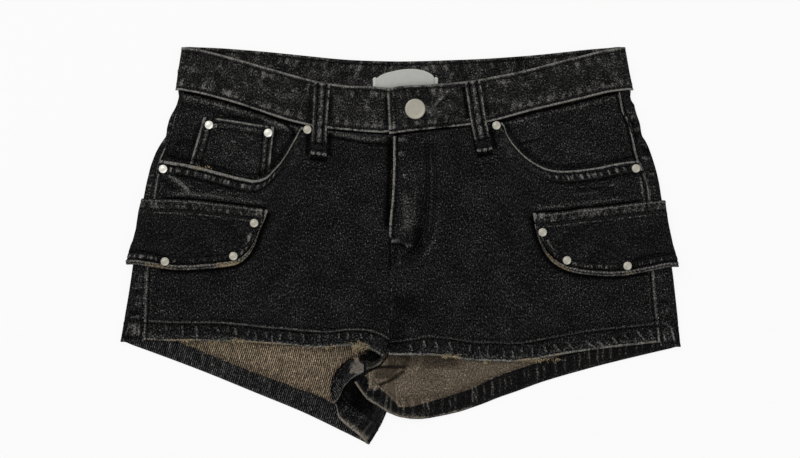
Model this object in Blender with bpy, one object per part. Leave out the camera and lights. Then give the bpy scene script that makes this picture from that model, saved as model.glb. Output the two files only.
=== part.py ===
"""Women's cargo shorts of washed denim, laid flat with the front up.

Lengths are millimetres until `add_mesh` writes metres. +X runs to the wearer's left,
+Y to the waist and +Z up from the surface the shorts lie on, which is z = 0. The origin is
the middle of that underside. Right and left are the wearer's own.

Each cloth piece is a grid of its outer face: rows run from the waist to the hem, columns
across, and the cloth's thickness goes inwards. The first cell of every grid faces up.
"""
from collections import namedtuple

import bpy
import numpy as np

MM = 0.001

# ---------------------------------------------------------------- cloth and gaps
GAP = 0.3               # between two pieces that touch
SEAM_GAP = 0.5          # between two pieces that meet edge to edge
CLOTH = 1.0             # one layer of denim
HEM_CLOTH = 1.8         # denim turned up twice, pressed
HEM_DEPTH = 16.0        # height of the turned-up hem
HEM_STEP = 0.8          # width over which the wall thickens into the hem
PRESSED = 0.72          # share of its thickness that cloth keeps round a sharp fold
BAND_CLOTH = 2.0        # waistband, two layers with seam allowance
FLAP_CLOTH = 2.0        # pocket flap, two layers with piping
LOOP_CLOTH = 1.6        # folded belt loop
BACK_LOOP_CLOTH = 1.1   # belt loop pressed under the band
LABEL_CLOTH = 0.5
FACING_DROP = 1.6       # pocket facings inside the front panels

# ---------------------------------------------------------------- levels of the outer faces
FRONT_LEVEL = 4.4       # front panels where nothing lies underneath them
BAND_LEVEL = 6.7        # front of the waistband
LAP_LEVEL = 9.1         # lapped end of the waistband over the under end
BAND_BACK_LEVEL = 1.4   # underside of the back of the waistband
WAIST_FRONT_LIFT = 1.8  # front panels rise by this to the waistband seam
WAIST_HOLD = 14.0       # the lift stays full for this far below the seam
WAIST_FADE = 34.0
LAP_LIFT = 1.6          # left front panel over the right one at the centre
LAP_FADE = 18.0
CROTCH_LEVEL = 4.9      # left back panel where it crosses the folded inner thigh
FOLD_UPPER = 4.6        # right inner thigh, layer with the outer face up
FOLD_TOP = 5.2          # right inner thigh, layer with the outer face down

# ---------------------------------------------------------------- trims
BUTTON_RADIUS = 8.5
BUTTON_HEIGHT = 3.0
RIVET_RADIUS = 3.6
RIVET_HEIGHT = 1.2
TURNED_SIDES = 18

# ---------------------------------------------------------------- places that are raised
Raised = namedtuple("Raised", "x y half_x half_y fade back front")
RAISED = (
    Raised(-192.0, 8.0, 37.0, 34.0, 26.0, 2.6, 2.6),    # over the back of the right flap
    Raised(194.0, 5.0, 37.0, 35.0, 26.0, 2.6, 2.6),     # over the back of the left flap
    Raised(-18.0, -92.0, 16.0, 12.0, 60.0, 0.0, 5.7),   # over the folded inner thigh
)

# ---------------------------------------------------------------- sides, a row each level
Side = namedtuple("Side", "y fold_x seam_x")
RIGHT_SIDE = (
    Side(126.0, -182.4, -177.6),
    Side(105.5, -188.0, -183.8),
    Side(84.0, -196.0, -190.3),
    Side(69.5, -203.0, -197.3),
    Side(53.0, -208.0, -200.5),
    Side(36.5, -211.0, -203.0),
    Side(0.5, -217.0, -206.5),
    Side(-39.0, -222.6, -209.0),
    Side(-79.0, -229.8, -210.5),
)
LEFT_SIDE = (
    Side(126.0, 189.2, 178.9),
    Side(105.5, 193.7, 184.4),
    Side(84.0, 201.2, 190.8),
    Side(69.5, 206.9, 195.0),
    Side(53.0, 211.6, 201.0),
    Side(36.5, 214.2, 203.3),
    Side(0.5, 220.0, 206.0),
    Side(-39.0, 225.3, 208.5),
    Side(-83.0, 230.0, 213.5),
)

# ---------------------------------------------------------------- sections from waist to hem
Section = namedtuple("Section", "top_x top_y low_x low_y")
RIGHT_FRONT = (
    Section(-194.5, 69.0, -210.0, -78.0),
    Section(-172.5, 65.0, -189.0, -79.0),
    Section(-150.5, 59.5, -169.5, -79.0),
    Section(-128.5, 54.0, -151.5, -79.0),
    Section(-113.5, 53.5, -139.0, -79.5),
    Section(-99.5, 64.5, -126.5, -80.0),
    Section(-91.0, 76.5, -114.5, -81.0),
    Section(-85.5, 86.5, -99.5, -82.0),
    Section(-79.0, 97.0, -80.0, -84.0),
    Section(-61.0, 95.0, -62.0, -84.5),
    Section(-41.5, 93.5, -43.0, -83.0),
    Section(-17.0, 91.5, -27.0, -85.0),
    Section(0.0, 91.0, -16.5, -90.5),
)
LEFT_FRONT = (
    Section(194.5, 68.5, 213.0, -80.0),
    Section(178.5, 66.0, 190.0, -82.5),
    Section(162.0, 62.5, 167.0, -85.0),
    Section(142.5, 60.0, 145.5, -88.0),
    Section(124.0, 60.5, 124.0, -91.5),
    Section(108.5, 67.0, 108.0, -94.5),
    Section(97.0, 76.5, 92.0, -96.0),
    Section(88.0, 88.0, 76.5, -95.5),
    Section(81.5, 101.0, 58.5, -95.0),
    Section(62.0, 98.0, 42.0, -92.5),
    Section(39.0, 95.8, 26.0, -90.0),
    Section(16.0, 93.2, 8.5, -90.0),
    Section(-5.5, 90.0, -9.5, -90.0),
)
RIGHT_BACK = (
    Section(-182.4, 126.0, -229.8, -79.0),
    Section(-152.0, 122.0, -200.5, -89.3),
    Section(-123.5, 119.5, -161.0, -104.1),
    Section(-90.5, 116.5, -122.0, -119.9),
    Section(-58.0, 113.5, -82.5, -136.0),
    Section(-29.0, 111.5, -49.5, -151.5),
    Section(-0.3, 111.5, -28.0, -162.4),
)
LEFT_BACK = (
    Section(189.2, 126.0, 230.0, -83.0),
    Section(152.0, 122.0, 203.0, -89.2),
    Section(123.5, 119.5, 163.5, -98.9),
    Section(90.5, 116.5, 124.0, -110.2),
    Section(58.0, 113.5, 85.0, -123.3),
    Section(29.0, 111.5, 45.5, -137.5),
    Section(0.3, 111.5, 1.0, -141.8),
)
RIGHT_FACING = (
    Section(-176.9, 126.0, -195.5, 60.0),
    Section(-160.5, 122.2, -174.0, 55.5),
    Section(-138.0, 116.2, -153.0, 49.5),
    Section(-117.0, 109.4, -129.0, 44.5),
    Section(-99.0, 103.2, -110.5, 44.5),
    Section(-87.5, 100.3, -96.5, 54.5),
    Section(-81.0, 98.8, -85.5, 67.5),
    Section(-75.0, 97.2, -76.0, 85.5),
)
LEFT_FACING = (
    Section(178.0, 125.8, 196.0, 59.0),
    Section(158.5, 121.0, 176.5, 54.5),
    Section(139.0, 116.0, 158.5, 51.0),
    Section(121.0, 112.0, 139.0, 49.5),
    Section(106.0, 108.5, 122.5, 51.0),
    Section(94.0, 105.2, 108.0, 58.0),
    Section(85.5, 102.8, 93.0, 69.5),
    Section(78.5, 101.0, 82.5, 87.5),
)
COIN_POCKET = (
    Section(-162.0, 103.5, -173.0, 66.7),
    Section(-147.0, 102.0, -154.5, 62.0),
    Section(-133.0, 100.0, -137.5, 57.7),
    Section(-118.5, 97.5, -122.0, 55.2),
    Section(-103.5, 95.5, -107.5, 60.0),
)
RIGHT_FLAP = (
    Section(-109.0, 28.0, -112.0, 20.0),
    Section(-113.5, 29.0, -116.5, 9.5),
    Section(-119.5, 30.0, -120.5, -2.0),
    Section(-126.0, 30.8, -126.5, -10.5),
    Section(-135.0, 32.0, -134.5, -16.0),
    Section(-148.0, 33.5, -148.0, -18.5),
    Section(-164.5, 35.5, -165.0, -20.0),
    Section(-181.0, 36.5, -183.5, -20.5),
    Section(-197.0, 37.0, -200.5, -18.5),
)
LEFT_FLAP = (
    Section(109.0, 25.5, 111.0, 13.5),
    Section(113.5, 25.5, 114.0, 3.5),
    Section(119.5, 25.7, 119.5, -8.0),
    Section(126.0, 26.1, 126.5, -15.5),
    Section(135.5, 27.0, 136.5, -21.0),
    Section(149.0, 29.0, 149.5, -24.0),
    Section(165.0, 30.5, 166.0, -25.5),
    Section(181.5, 32.5, 184.0, -25.0),
    Section(198.0, 34.5, 206.0, -21.0),
)
FLAP_BACK = (                                            # right flap; the left is mirrored
    Section(-196.0, 37.0, -204.0, -17.5),
    Section(-184.0, 36.0, -187.0, -19.5),
    Section(-172.0, 35.0, -172.5, -15.0),
    Section(-164.0, 34.0, -163.5, -3.0),
    Section(-160.0, 33.0, -159.0, 14.0),
)
FlapFold = namedtuple("FlapFold", "top_x top_y low_x low_y")
RIGHT_FLAP_FOLD = FlapFold(-213.2, 37.5, -225.0, -16.0)
LEFT_FLAP_FOLD = FlapFold(216.8, 36.0, 228.2, -18.0)
FLAP_BACK_SHIFT = 2.5                                    # left flap lies this much lower

# ---------------------------------------------------------------- centre edges, a row each level
Point = namedtuple("Point", "x y")
RIGHT_FRONT_CENTRE = (
    Point(0.0, 91.0), Point(-1.0, 65.0), Point(-1.8, 39.0), Point(-2.2, 13.0),
    Point(-2.5, -13.0), Point(-3.0, -39.0), Point(-5.0, -64.0), Point(-16.5, -90.5),
)
LEFT_FRONT_CENTRE = (
    Point(-5.5, 90.0), Point(-5.0, 64.0), Point(-6.0, 39.0), Point(-8.5, 13.0),
    Point(-8.8, -13.0), Point(-8.0, -39.0), Point(-8.0, -65.0), Point(-9.5, -90.0),
)
RIGHT_BACK_CENTRE = (
    Point(-0.3, 111.5), Point(-1.0, 72.5), Point(-1.8, 33.0), Point(-3.0, -6.0),
    Point(-5.5, -45.0), Point(-7.6, -84.0), Point(-8.5, -123.0), Point(-28.0, -162.4),
)
LEFT_BACK_CENTRE = (
    Point(0.3, 111.5), Point(-0.4, 69.5), Point(-1.3, 27.0), Point(-2.7, -15.0),
    Point(-5.2, -57.0), Point(-7.0, -100.0), Point(1.0, -141.8),
)

# ---------------------------------------------------------------- inner thighs, a row each fold
Fold = namedtuple("Fold", "top_x top_y mid_x mid_y hem_x hem_y level")
RIGHT_THIGH_LOWER = (                                    # outer face up, over the back panel
    Fold(-15.0, -104.0, -23.0, -132.0, -34.0, -156.0, FOLD_UPPER),
    Fold(-21.0, -100.5, -32.0, -126.0, -42.5, -149.5, FOLD_UPPER),
    Fold(-26.5, -97.5, -41.0, -119.5, -50.0, -142.5, FOLD_UPPER),
)
RIGHT_THIGH_EDGE = Fold(-38.5, -92.5, -53.0, -108.5, -57.0, -130.0, (FOLD_UPPER + FOLD_TOP) / 2.0)
RIGHT_THIGH_UPPER = (                                    # inner face up, to the inseam
    Fold(-35.5, -92.5, -42.5, -105.0, -46.5, -116.5, FOLD_TOP),
    Fold(-33.0, -92.0, -36.5, -101.5, -39.5, -109.5, FOLD_TOP),
    Fold(-30.5, -91.5, -30.5, -98.0, -30.5, -104.4, FOLD_TOP),
)
RIGHT_FRONT_UNDER = (                                    # front hem turned under to the inseam
    Fold(-16.5, -81.0, -18.5, -89.0, -18.0, -98.0, FOLD_TOP),
    Fold(-22.5, -85.5, -24.0, -92.5, -23.8, -100.6, FOLD_TOP),
    Fold(-29.5, -91.0, -29.6, -97.5, -29.6, -103.8, FOLD_TOP),
)
LEFT_THIGH = (                                           # lies across the right inner thigh
    Fold(-12.0, -94.5, -10.5, -114.0, -9.5, -138.0, CROTCH_LEVEL),
    Fold(-17.0, -100.0, -17.5, -112.5, -19.0, -132.0, CROTCH_LEVEL),
    Fold(-23.0, -103.5, -24.5, -112.0, -27.0, -127.0, CROTCH_LEVEL),
    Fold(-29.0, -107.0, -30.5, -111.5, -33.0, -119.5, CROTCH_LEVEL),
    Fold(-33.5, -110.0, -35.0, -111.3, -37.5, -113.0, CROTCH_LEVEL),
)

# ---------------------------------------------------------------- waistband, a row each section
Band = namedtuple("Band", "top_x top_y low_x low_y level")
BAND_RIGHT_FRONT = (                                     # from the under end to the right side
    Band(20.0, 128.0, 20.0, 97.5, BAND_LEVEL),
    Band(1.0, 128.0, 0.5, 95.5, BAND_LEVEL),
    Band(-12.0, 128.5, -12.0, 92.2, BAND_LEVEL),
    Band(-25.0, 129.5, -25.0, 92.5, BAND_LEVEL),
    Band(-45.5, 130.2, -45.5, 94.2, BAND_LEVEL),
    Band(-69.5, 134.0, -73.0, 97.5, BAND_LEVEL),
    Band(-90.5, 139.5, -99.0, 104.0, BAND_LEVEL),
    Band(-113.5, 146.0, -123.5, 112.5, BAND_LEVEL),
    Band(-138.0, 153.0, -150.0, 120.3, BAND_LEVEL),
    Band(-160.5, 158.8, -168.5, 124.8, BAND_LEVEL),
    Band(-177.0, 161.5, -182.0, 126.9, BAND_LEVEL),
)
BAND_BACK = (                                            # round the back
    Band(-177.0, 161.8, -182.0, 126.6, BAND_BACK_LEVEL),
    Band(-151.5, 161.0, -152.0, 122.7, BAND_BACK_LEVEL),
    Band(-112.0, 158.0, -123.5, 120.2, BAND_BACK_LEVEL),
    Band(-72.5, 154.0, -90.5, 117.2, BAND_BACK_LEVEL),
    Band(-41.5, 151.2, -58.0, 114.2, BAND_BACK_LEVEL),
    Band(-0.5, 150.0, -0.5, 112.2, BAND_BACK_LEVEL),
    Band(40.5, 151.0, 58.0, 114.2, BAND_BACK_LEVEL),
    Band(75.0, 152.5, 90.5, 117.2, BAND_BACK_LEVEL),
    Band(114.5, 155.5, 123.5, 120.2, BAND_BACK_LEVEL),
    Band(154.0, 159.7, 152.0, 122.7, BAND_BACK_LEVEL),
    Band(181.6, 161.8, 188.4, 126.6, BAND_BACK_LEVEL),
)
BAND_LEFT_FRONT = (                                      # from the left side to the lapped end
    Band(181.6, 161.5, 188.4, 126.9, BAND_LEVEL),
    Band(163.5, 158.5, 171.5, 125.2, BAND_LEVEL),
    Band(148.0, 154.5, 155.5, 121.4, BAND_LEVEL),
    Band(124.0, 148.5, 131.0, 115.6, BAND_LEVEL),
    Band(101.5, 142.5, 106.0, 109.6, BAND_LEVEL),
    Band(81.5, 138.5, 85.5, 104.0, BAND_LEVEL),
    Band(64.5, 135.2, 67.0, 99.6, BAND_LEVEL),
    Band(50.0, 133.2, 50.0, 97.6, BAND_LEVEL),
    Band(26.0, 131.0, 25.0, 95.0, LAP_LEVEL),
    Band(3.5, 130.0, 3.0, 92.7, LAP_LEVEL),
    Band(-10.0, 127.8, -8.2, 90.7, LAP_LEVEL),
)

# ---------------------------------------------------------------- belt loops
Loop = namedtuple("Loop", "left_x left_y right_x right_y level")
RIGHT_LOOP = (
    Loop(-70.5, 132.8, -58.0, 131.0, 8.6),
    Loop(-72.0, 98.0, -60.5, 97.0, 8.6),
    Loop(-72.8, 85.0, -60.8, 83.5, 7.9),
    Loop(-73.5, 73.0, -61.0, 71.5, 7.3),
)
LEFT_LOOP = (
    Loop(53.0, 132.5, 65.0, 134.8, 8.7),
    Loop(57.5, 103.0, 69.5, 105.0, 8.7),
    Loop(60.5, 88.0, 72.5, 90.0, 8.1),
    Loop(63.5, 74.5, 75.5, 77.0, 7.4),
)
BACK_LOOPS = (("right", -95.0, 155.5), ("centre", 0.0, 149.0), ("left", 97.0, 153.0))
BACK_LOOP_WIDTH = 12.0
BACK_LOOP_LENGTH = 46.0

# ---------------------------------------------------------------- label, a row each section
LABEL = (
    Section(-22.6, 136.0, -22.6, 122.0),
    Section(-21.2, 137.2, -21.2, 122.0),
    Section(-19.7, 136.6, -19.7, 122.0),
    Section(-17.0, 138.3, -17.0, 122.0),
    Section(-13.4, 140.1, -13.4, 122.0),
    Section(-7.0, 141.9, -7.0, 122.0),
    Section(0.0, 143.3, 0.0, 122.0),
    Section(8.0, 144.0, 8.0, 122.0),
    Section(15.5, 143.4, 15.5, 122.0),
    Section(21.5, 141.7, 21.5, 122.0),
    Section(26.2, 138.9, 26.2, 122.0),
    Section(28.0, 136.8, 28.0, 122.0),
    Section(29.2, 137.4, 29.2, 122.0),
    Section(30.6, 136.4, 30.6, 122.0),
)

# ---------------------------------------------------------------- metal parts
Rivet = namedtuple("Rivet", "name x y stands_on")
RIVETS = (
    Rivet("coin_outer", -157.0, 98.0, "panel"),
    Rivet("coin_inner", -108.5, 91.5, "panel"),
    Rivet("right_mouth_inner", -76.3, 94.2, "panel"),
    Rivet("right_mouth_outer", -194.2, 61.9, "panel"),
    Rivet("left_mouth_inner", 78.7, 97.6, "panel"),
    Rivet("left_mouth_outer", 193.2, 62.4, "panel"),
    Rivet("right_flap_top", -120.0, 17.5, "flap"),
    Rivet("right_flap_corner", -137.0, -9.5, "flap"),
    Rivet("right_flap_middle", -193.0, -14.0, "flap"),
    Rivet("left_flap_top", 116.5, 10.0, "flap"),
    Rivet("left_flap_corner", 136.5, -13.0, "flap"),
    Rivet("left_flap_middle", 186.0, -17.5, "flap"),
)
BUTTON_PLACE = Point(12.0, 111.0)
Ring = namedtuple("Ring", "radius height")
BUTTON_RINGS = (Ring(0.78, 0.0), Ring(1.0, 0.42), Ring(1.0, 0.72), Ring(0.93, 0.92), Ring(0.82, 1.0))
RIVET_RINGS = (Ring(0.92, 0.0), Ring(1.0, 0.35), Ring(0.96, 0.75), Ring(0.8, 1.0))

# ---------------------------------------------------------------- finishes: colour, roughness, metallic
Finish = namedtuple("Finish", "colour roughness metallic")
DENIM = Finish((0.011, 0.011, 0.0112), 0.92, 0.0)
BACK_DENIM = Finish((0.012, 0.012, 0.0122), 0.92, 0.0)
FACING_DENIM = Finish((0.014, 0.014, 0.0142), 0.92, 0.0)
BAND_DENIM = Finish((0.021, 0.0205, 0.020), 0.92, 0.0)
LOOP_DENIM = Finish((0.024, 0.0235, 0.0225), 0.92, 0.0)
LABEL_WEAVE = Finish((0.40, 0.405, 0.375), 0.75, 0.0)
NICKEL = Finish((0.62, 0.60, 0.54), 0.32, 1.0)

# ---------------------------------------------------------------- rows and columns of the grids
PANEL_ROWS = (0.0, 0.07, 0.14, 0.23, 0.33, 0.44, 0.55, 0.66, 0.76, 0.85, 0.90, 0.95, 1.0)
CROTCH_ROW = 9          # inner thighs start at this row
HEM_START = 0.72        # share of an inner thigh above its hem
FOLD_LEAN = 0.45        # slant of the right inner thigh's lower fold
HEM_DRIFT = -2.5        # the right front hem runs down as it turns under
FRONT_COLUMNS = 21
BACK_COLUMNS = 17
FLAP_ROWS, FLAP_COLUMNS = 9, 17
BAND_ROWS = 5
ARC_STEPS = 6           # round a fold
EDGE_STEPS = 2          # round the inner thigh's upper fold, each way


def clear_scene():
    """Remove everything the scene starts with."""
    for item in list(bpy.data.objects):
        bpy.data.objects.remove(item, do_unlink=True)
    for mesh in list(bpy.data.meshes):
        bpy.data.meshes.remove(mesh)


def spline(rows, at):
    """Values of a smooth curve through the rows, at 0 for the first row and 1 for the last."""
    rows = np.asarray([tuple(row) for row in rows], float)
    place = np.clip(np.asarray(at, float), 0.0, 1.0) * (len(rows) - 1)
    index = np.minimum(place.astype(int), len(rows) - 2)
    t = (place - index)[..., None]
    before = rows[np.maximum(index - 1, 0)]
    after = rows[np.minimum(index + 2, len(rows) - 1)]
    first, second = rows[index], rows[index + 1]
    slope_in, slope_out = (second - before) / 2.0, (after - first) / 2.0
    return (
        first * (2 * t ** 3 - 3 * t ** 2 + 1)
        + slope_in * (t ** 3 - 2 * t ** 2 + t)
        + second * (3 * t ** 2 - 2 * t ** 3)
        + slope_out * (t ** 3 - t ** 2)
    )


def soft(distance, fade):
    """1 where the distance is below nothing, falling smoothly to 0 at `fade`."""
    t = np.clip(1.0 - np.asarray(distance, float) / fade, 0.0, 1.0)
    return t * t * (3.0 - 2.0 * t)


def raised(x, y, side):
    """Lift of the back or front panels over what lies beneath them."""
    lift = np.zeros(np.broadcast(x, y).shape)
    for place in RAISED:
        across = soft(np.abs(x - place.x) - place.half_x, place.fade)
        along = soft(np.abs(y - place.y) - place.half_y, place.fade)
        lift = np.maximum(lift, getattr(place, side) * across * along)
    return lift


def back_seam_y(x):
    """Height on the table of the seam between back panels and waistband."""
    return 111.5 + 13.0 * (np.asarray(x, float) / 185.0) ** 2


def front_seam_y(x):
    """Height on the table of the seam between front panels and waistband."""
    return 91.5 + 36.0 * np.clip(np.abs(np.asarray(x, float)) / 185.0, 0.0, 1.2) ** 1.5


def back_level(x, y):
    """Outer (lower) face of the back panels above the table."""
    waist = BAND_BACK_LEVEL * soft(back_seam_y(x) - y - WAIST_HOLD, WAIST_FADE)
    return np.maximum(raised(x, y, "back"), waist)


def front_level(x, y):
    """Outer (upper) face of the front panels above the table."""
    waist = WAIST_FRONT_LIFT * soft(front_seam_y(x) - y - WAIST_HOLD, WAIST_FADE)
    return FRONT_LEVEL + np.maximum(raised(x, y, "front"), waist)


def left_front_level(x, y):
    """Outer face of the left front panel, which laps over the right one at the centre."""
    return front_level(x, y) + LAP_LIFT * soft(np.asarray(x, float) - 3.0, LAP_FADE)


def left_back_level(x, y):
    """Outer face of the left back panel, which climbs over the folded inner thigh."""
    across = soft(np.asarray(x, float), 40.0)
    along = soft(np.asarray(y, float) + 101.0, 60.0)
    return np.maximum(back_level(x, y), CROTCH_LEVEL * across * along)


def patch(sections, start, end, across, down):
    """Points of a sheet bounded by the ends of its sections and by two edge curves."""
    ends = np.asarray([tuple(row) for row in sections], float)
    top = spline(ends[:, :2], across)[None]
    low = spline(ends[:, 2:], across)[None]
    u = across[None, :, None]
    v = down[..., None]
    first, last = spline(start, down), spline(end, down)
    corners = (
        (1 - u) * (1 - v) * ends[0, :2]
        + (1 - u) * v * ends[0, 2:]
        + u * (1 - v) * ends[-1, :2]
        + u * v * ends[-1, 2:]
    )
    return (1 - v) * top + v * low + (1 - u) * first + u * last - corners


def hem_rows(sections, across):
    """Row places down each column, with the last rows at the turned-up hem."""
    ends = spline([tuple(row) for row in sections], across)
    length = np.hypot(ends[:, 2] - ends[:, 0], ends[:, 3] - ends[:, 1])
    hem = 1.0 - HEM_DEPTH / length
    rows = [fraction * hem for fraction in PANEL_ROWS]
    rows += [hem + HEM_STEP / length, (hem + 1.0) / 2.0, np.ones_like(hem)]
    return np.array(rows)


def hem_thickness():
    """Wall thickness down a panel: one layer, then the turned-up hem."""
    return np.array([CLOTH] * len(PANEL_ROWS) + [HEM_CLOTH] * 3)[:, None]


def edge_at(side, field, first_y, last_y, shift):
    """Edge curve down one side between two heights, moved across by `shift`."""
    levels = np.linspace(first_y, last_y, 9)
    heights = [row.y for row in side][::-1]
    places = [getattr(row, field) for row in side][::-1]
    return [Point(np.interp(level, heights, places) + shift, level) for level in levels]


def column(flat, level, share=1.0):
    """Column of a grid: places on the table, level, and share of the full thickness."""
    rows = len(flat)
    return np.column_stack([flat, np.broadcast_to(level, rows), np.broadcast_to(share, rows)])


def along_section(row, down):
    """Places down one straight section."""
    return np.outer(1 - down, row[:2]) + np.outer(down, row[2:4])


def wall(name, columns, thickness, finish, present=None):
    """Closed sheet solid from the columns of its outer face and its thickness."""
    grid = np.stack(columns, axis=1)
    outer, thickness = grid[..., :3], grid[..., 3] * thickness
    rows, columns = outer.shape[:2]
    if present is None:
        present = np.ones((rows - 1, columns - 1), bool)
    cells = [
        (r * columns + c, (r + 1) * columns + c, (r + 1) * columns + c + 1, r * columns + c + 1)
        for r in range(rows - 1)
        for c in range(columns - 1)
        if present[r, c]
    ]
    points = outer.reshape(-1, 3)
    normals = np.zeros_like(points)
    for cell in cells:
        a, b, c, d = (points[i] for i in cell)
        normals[list(cell)] += np.cross(c - a, d - b)
    if normals[cells[0][0]][2] < 0:
        cells = [cell[::-1] for cell in cells]
        normals = -normals
    used = sorted({i for cell in cells for i in cell})
    order = {i: n for n, i in enumerate(used)}
    count = len(used)
    normals = normals[used] / np.linalg.norm(normals[used], axis=1)[:, None]
    outside = points[used]
    inside = outside - normals * thickness.reshape(-1)[used][:, None]
    cells = [tuple(order[i] for i in cell) for cell in cells]
    edges = {(cell[k], cell[(k + 1) % 4]) for cell in cells for k in range(4)}
    rims = [(b, a, a + count, b + count) for a, b in sorted(edges) if (b, a) not in edges]
    faces = cells + [tuple(i + count for i in cell[::-1]) for cell in cells] + rims
    return add_mesh(name, np.vstack([outside, inside]), faces, finish)


def turned(name, rings, radius, height, place, base, finish):
    """Round part standing on `base`, turned from its rings."""
    angles = np.linspace(0.0, 2.0 * np.pi, TURNED_SIDES, endpoint=False)
    points = [
        (place.x + ring.radius * radius * np.cos(a), place.y + ring.radius * radius * np.sin(a),
         base + ring.height * height)
        for ring in rings
        for a in angles
    ]
    faces = [tuple(range(TURNED_SIDES))[::-1]]
    for level in range(len(rings) - 1):
        for k in range(TURNED_SIDES):
            following = (k + 1) % TURNED_SIDES
            low = level * TURNED_SIDES
            faces.append((low + k, low + following, low + TURNED_SIDES + following,
                          low + TURNED_SIDES + k))
    faces.append(tuple(range((len(rings) - 1) * TURNED_SIDES, len(rings) * TURNED_SIDES)))
    return add_mesh(name, np.array(points), faces, finish)


def add_mesh(name, points, faces, finish):
    """Object in the scene with its own material, written in metres."""
    mesh = bpy.data.meshes.new(name)
    mesh.from_pydata((np.asarray(points) * MM).tolist(), [], faces)
    mesh.polygons.foreach_set("use_smooth", [True] * len(mesh.polygons))
    mesh.materials.append(material(name, finish))
    mesh.update()
    item = bpy.data.objects.new(name, mesh)
    bpy.context.scene.collection.objects.link(item)
    return item


def material(name, finish):
    """Principled material of one sub-part."""
    result = bpy.data.materials.new(name + "_finish")
    result.use_nodes = True
    shader = result.node_tree.nodes["Principled BSDF"]
    shader.inputs["Base Color"].default_value = (*finish.colour, 1.0)
    shader.inputs["Roughness"].default_value = finish.roughness
    shader.inputs["Metallic"].default_value = finish.metallic
    return result


def half_turn(edge_x, edge_y, inward, from_level, to_level, lean=0.0, drift=0.0):
    """Columns round a fold whose outer face reaches the edge, without its two ends.

    `lean` slants the way round and `drift` moves it along the fold.
    """
    radius = np.abs(from_level - to_level) / 2.0
    middle = (from_level + to_level) / 2.0
    sign = np.sign(from_level - to_level)
    for step in range(1, ARC_STEPS):
        angle = np.pi / 2.0 - np.pi * step / ARC_STEPS
        reach = radius * (1.0 - np.cos(angle))
        along = edge_y + lean * reach + drift * step / ARC_STEPS
        flat = np.column_stack([edge_x + inward * reach, along])
        yield column(flat, middle + sign * radius * np.sin(angle), PRESSED)


def back_panel(name, side, sections, centre, thigh, level, inward):
    """Back panel from the outseam round the side fold to the centre back and inner thigh."""
    across = np.linspace(0.0, 1.0, BACK_COLUMNS)
    down = hem_rows(sections, across)
    y, fold_x, seam_x = spline(side, down[:, 0]).T
    top, low = front_level(fold_x, y), back_level(fold_x, y)
    radius = (top - low) / 2.0
    seam = column(np.column_stack([seam_x, y]), front_level(seam_x, y))
    ready = column(np.column_stack([fold_x + inward * radius, y]), top)
    columns = [seam, (seam + ready) / 2.0, ready]
    columns += list(half_turn(fold_x, y, inward, top, low))
    start = [Point(row.fold_x, row.y) for row in side]
    flat = patch(sections, start, centre, across, down)
    flat[..., 0] += inward * radius[:, None] * (1.0 - across)
    height = level(flat[..., 0], flat[..., 1])
    columns += [column(flat[:, c], height[:, c]) for c in range(BACK_COLUMNS)]
    joined = len(columns) - 1
    columns += list(thigh(columns[-1]))
    present = np.ones((len(down) - 1, len(columns) - 1), bool)
    present[:CROTCH_ROW, joined:] = False
    return wall(name, columns, hem_thickness(), BACK_DENIM, present)


def fold_column(fold, rows, first_row, shift=0.0, lift=0.0, share=1.0):
    """Column of an inner thigh: still above the crotch, then down the fold to the hem."""
    three = [(fold.top_x, fold.top_y), (fold.mid_x, fold.mid_y), (fold.hem_x, fold.hem_y)]
    steps = np.clip((np.arange(rows) - first_row) / (len(PANEL_ROWS) - 1.0 - first_row), 0.0, 1.0)
    at = steps * HEM_START
    at[len(PANEL_ROWS):] = (HEM_START + 0.03, (HEM_START + 1.0) / 2.0, 1.0)
    flat = spline(three, at) + (shift, 0.0)
    return column(flat, fold.level + lift, share)


def right_thigh(last):
    """Right inner thigh: up round the lower fold, back over itself, then over again."""
    rows = len(last)
    reach = FOLD_UPPER / 2.0
    yield from half_turn(last[:, 0] + reach, last[:, 1] - FOLD_LEAN * reach, -1.0,
                         np.zeros(rows), np.full(rows, FOLD_UPPER), FOLD_LEAN)
    for fold in RIGHT_THIGH_LOWER:
        yield fold_column(fold, rows, CROTCH_ROW)
    radius = (FOLD_TOP - FOLD_UPPER) / 2.0
    thick = PRESSED * np.broadcast_to(hem_thickness()[:, 0], rows)
    for step in range(-EDGE_STEPS, EDGE_STEPS + 1):
        angle = np.pi / 2.0 * step / EDGE_STEPS
        shift = thick + radius * (1.0 - np.cos(angle))
        place = fold_column(RIGHT_THIGH_EDGE, rows, CROTCH_ROW, 0.0, radius * np.sin(angle), PRESSED)
        place[:, 0] += shift
        yield place
    for fold in RIGHT_THIGH_UPPER:
        yield fold_column(fold, rows, CROTCH_ROW)


def left_thigh(last):
    """Left inner thigh, lying across the right one."""
    for fold in LEFT_THIGH:
        yield fold_column(fold, len(last), CROTCH_ROW)


def front_panel(name, side, sections, centre, under, level, inward):
    """Front panel from the outseam and pocket mouth to the centre front."""
    across = np.linspace(0.0, 1.0, FRONT_COLUMNS)
    down = hem_rows(sections, across)
    first = sections[0]
    start = edge_at(side, "seam_x", first.top_y, first.low_y, inward * SEAM_GAP)
    ends = [first._replace(top_x=start[0].x, low_x=start[-1].x), *sections[1:]]
    flat = patch(ends, start, centre, across, down)
    height = level(flat[..., 0], flat[..., 1])
    columns = [column(flat[:, c], height[:, c]) for c in range(FRONT_COLUMNS)]
    columns += list(under(columns[-1]))
    present = np.ones((len(down) - 1, len(columns) - 1), bool)
    present[:len(PANEL_ROWS) - 1, FRONT_COLUMNS - 1:] = False
    return wall(name, columns, hem_thickness(), DENIM, present)


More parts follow.
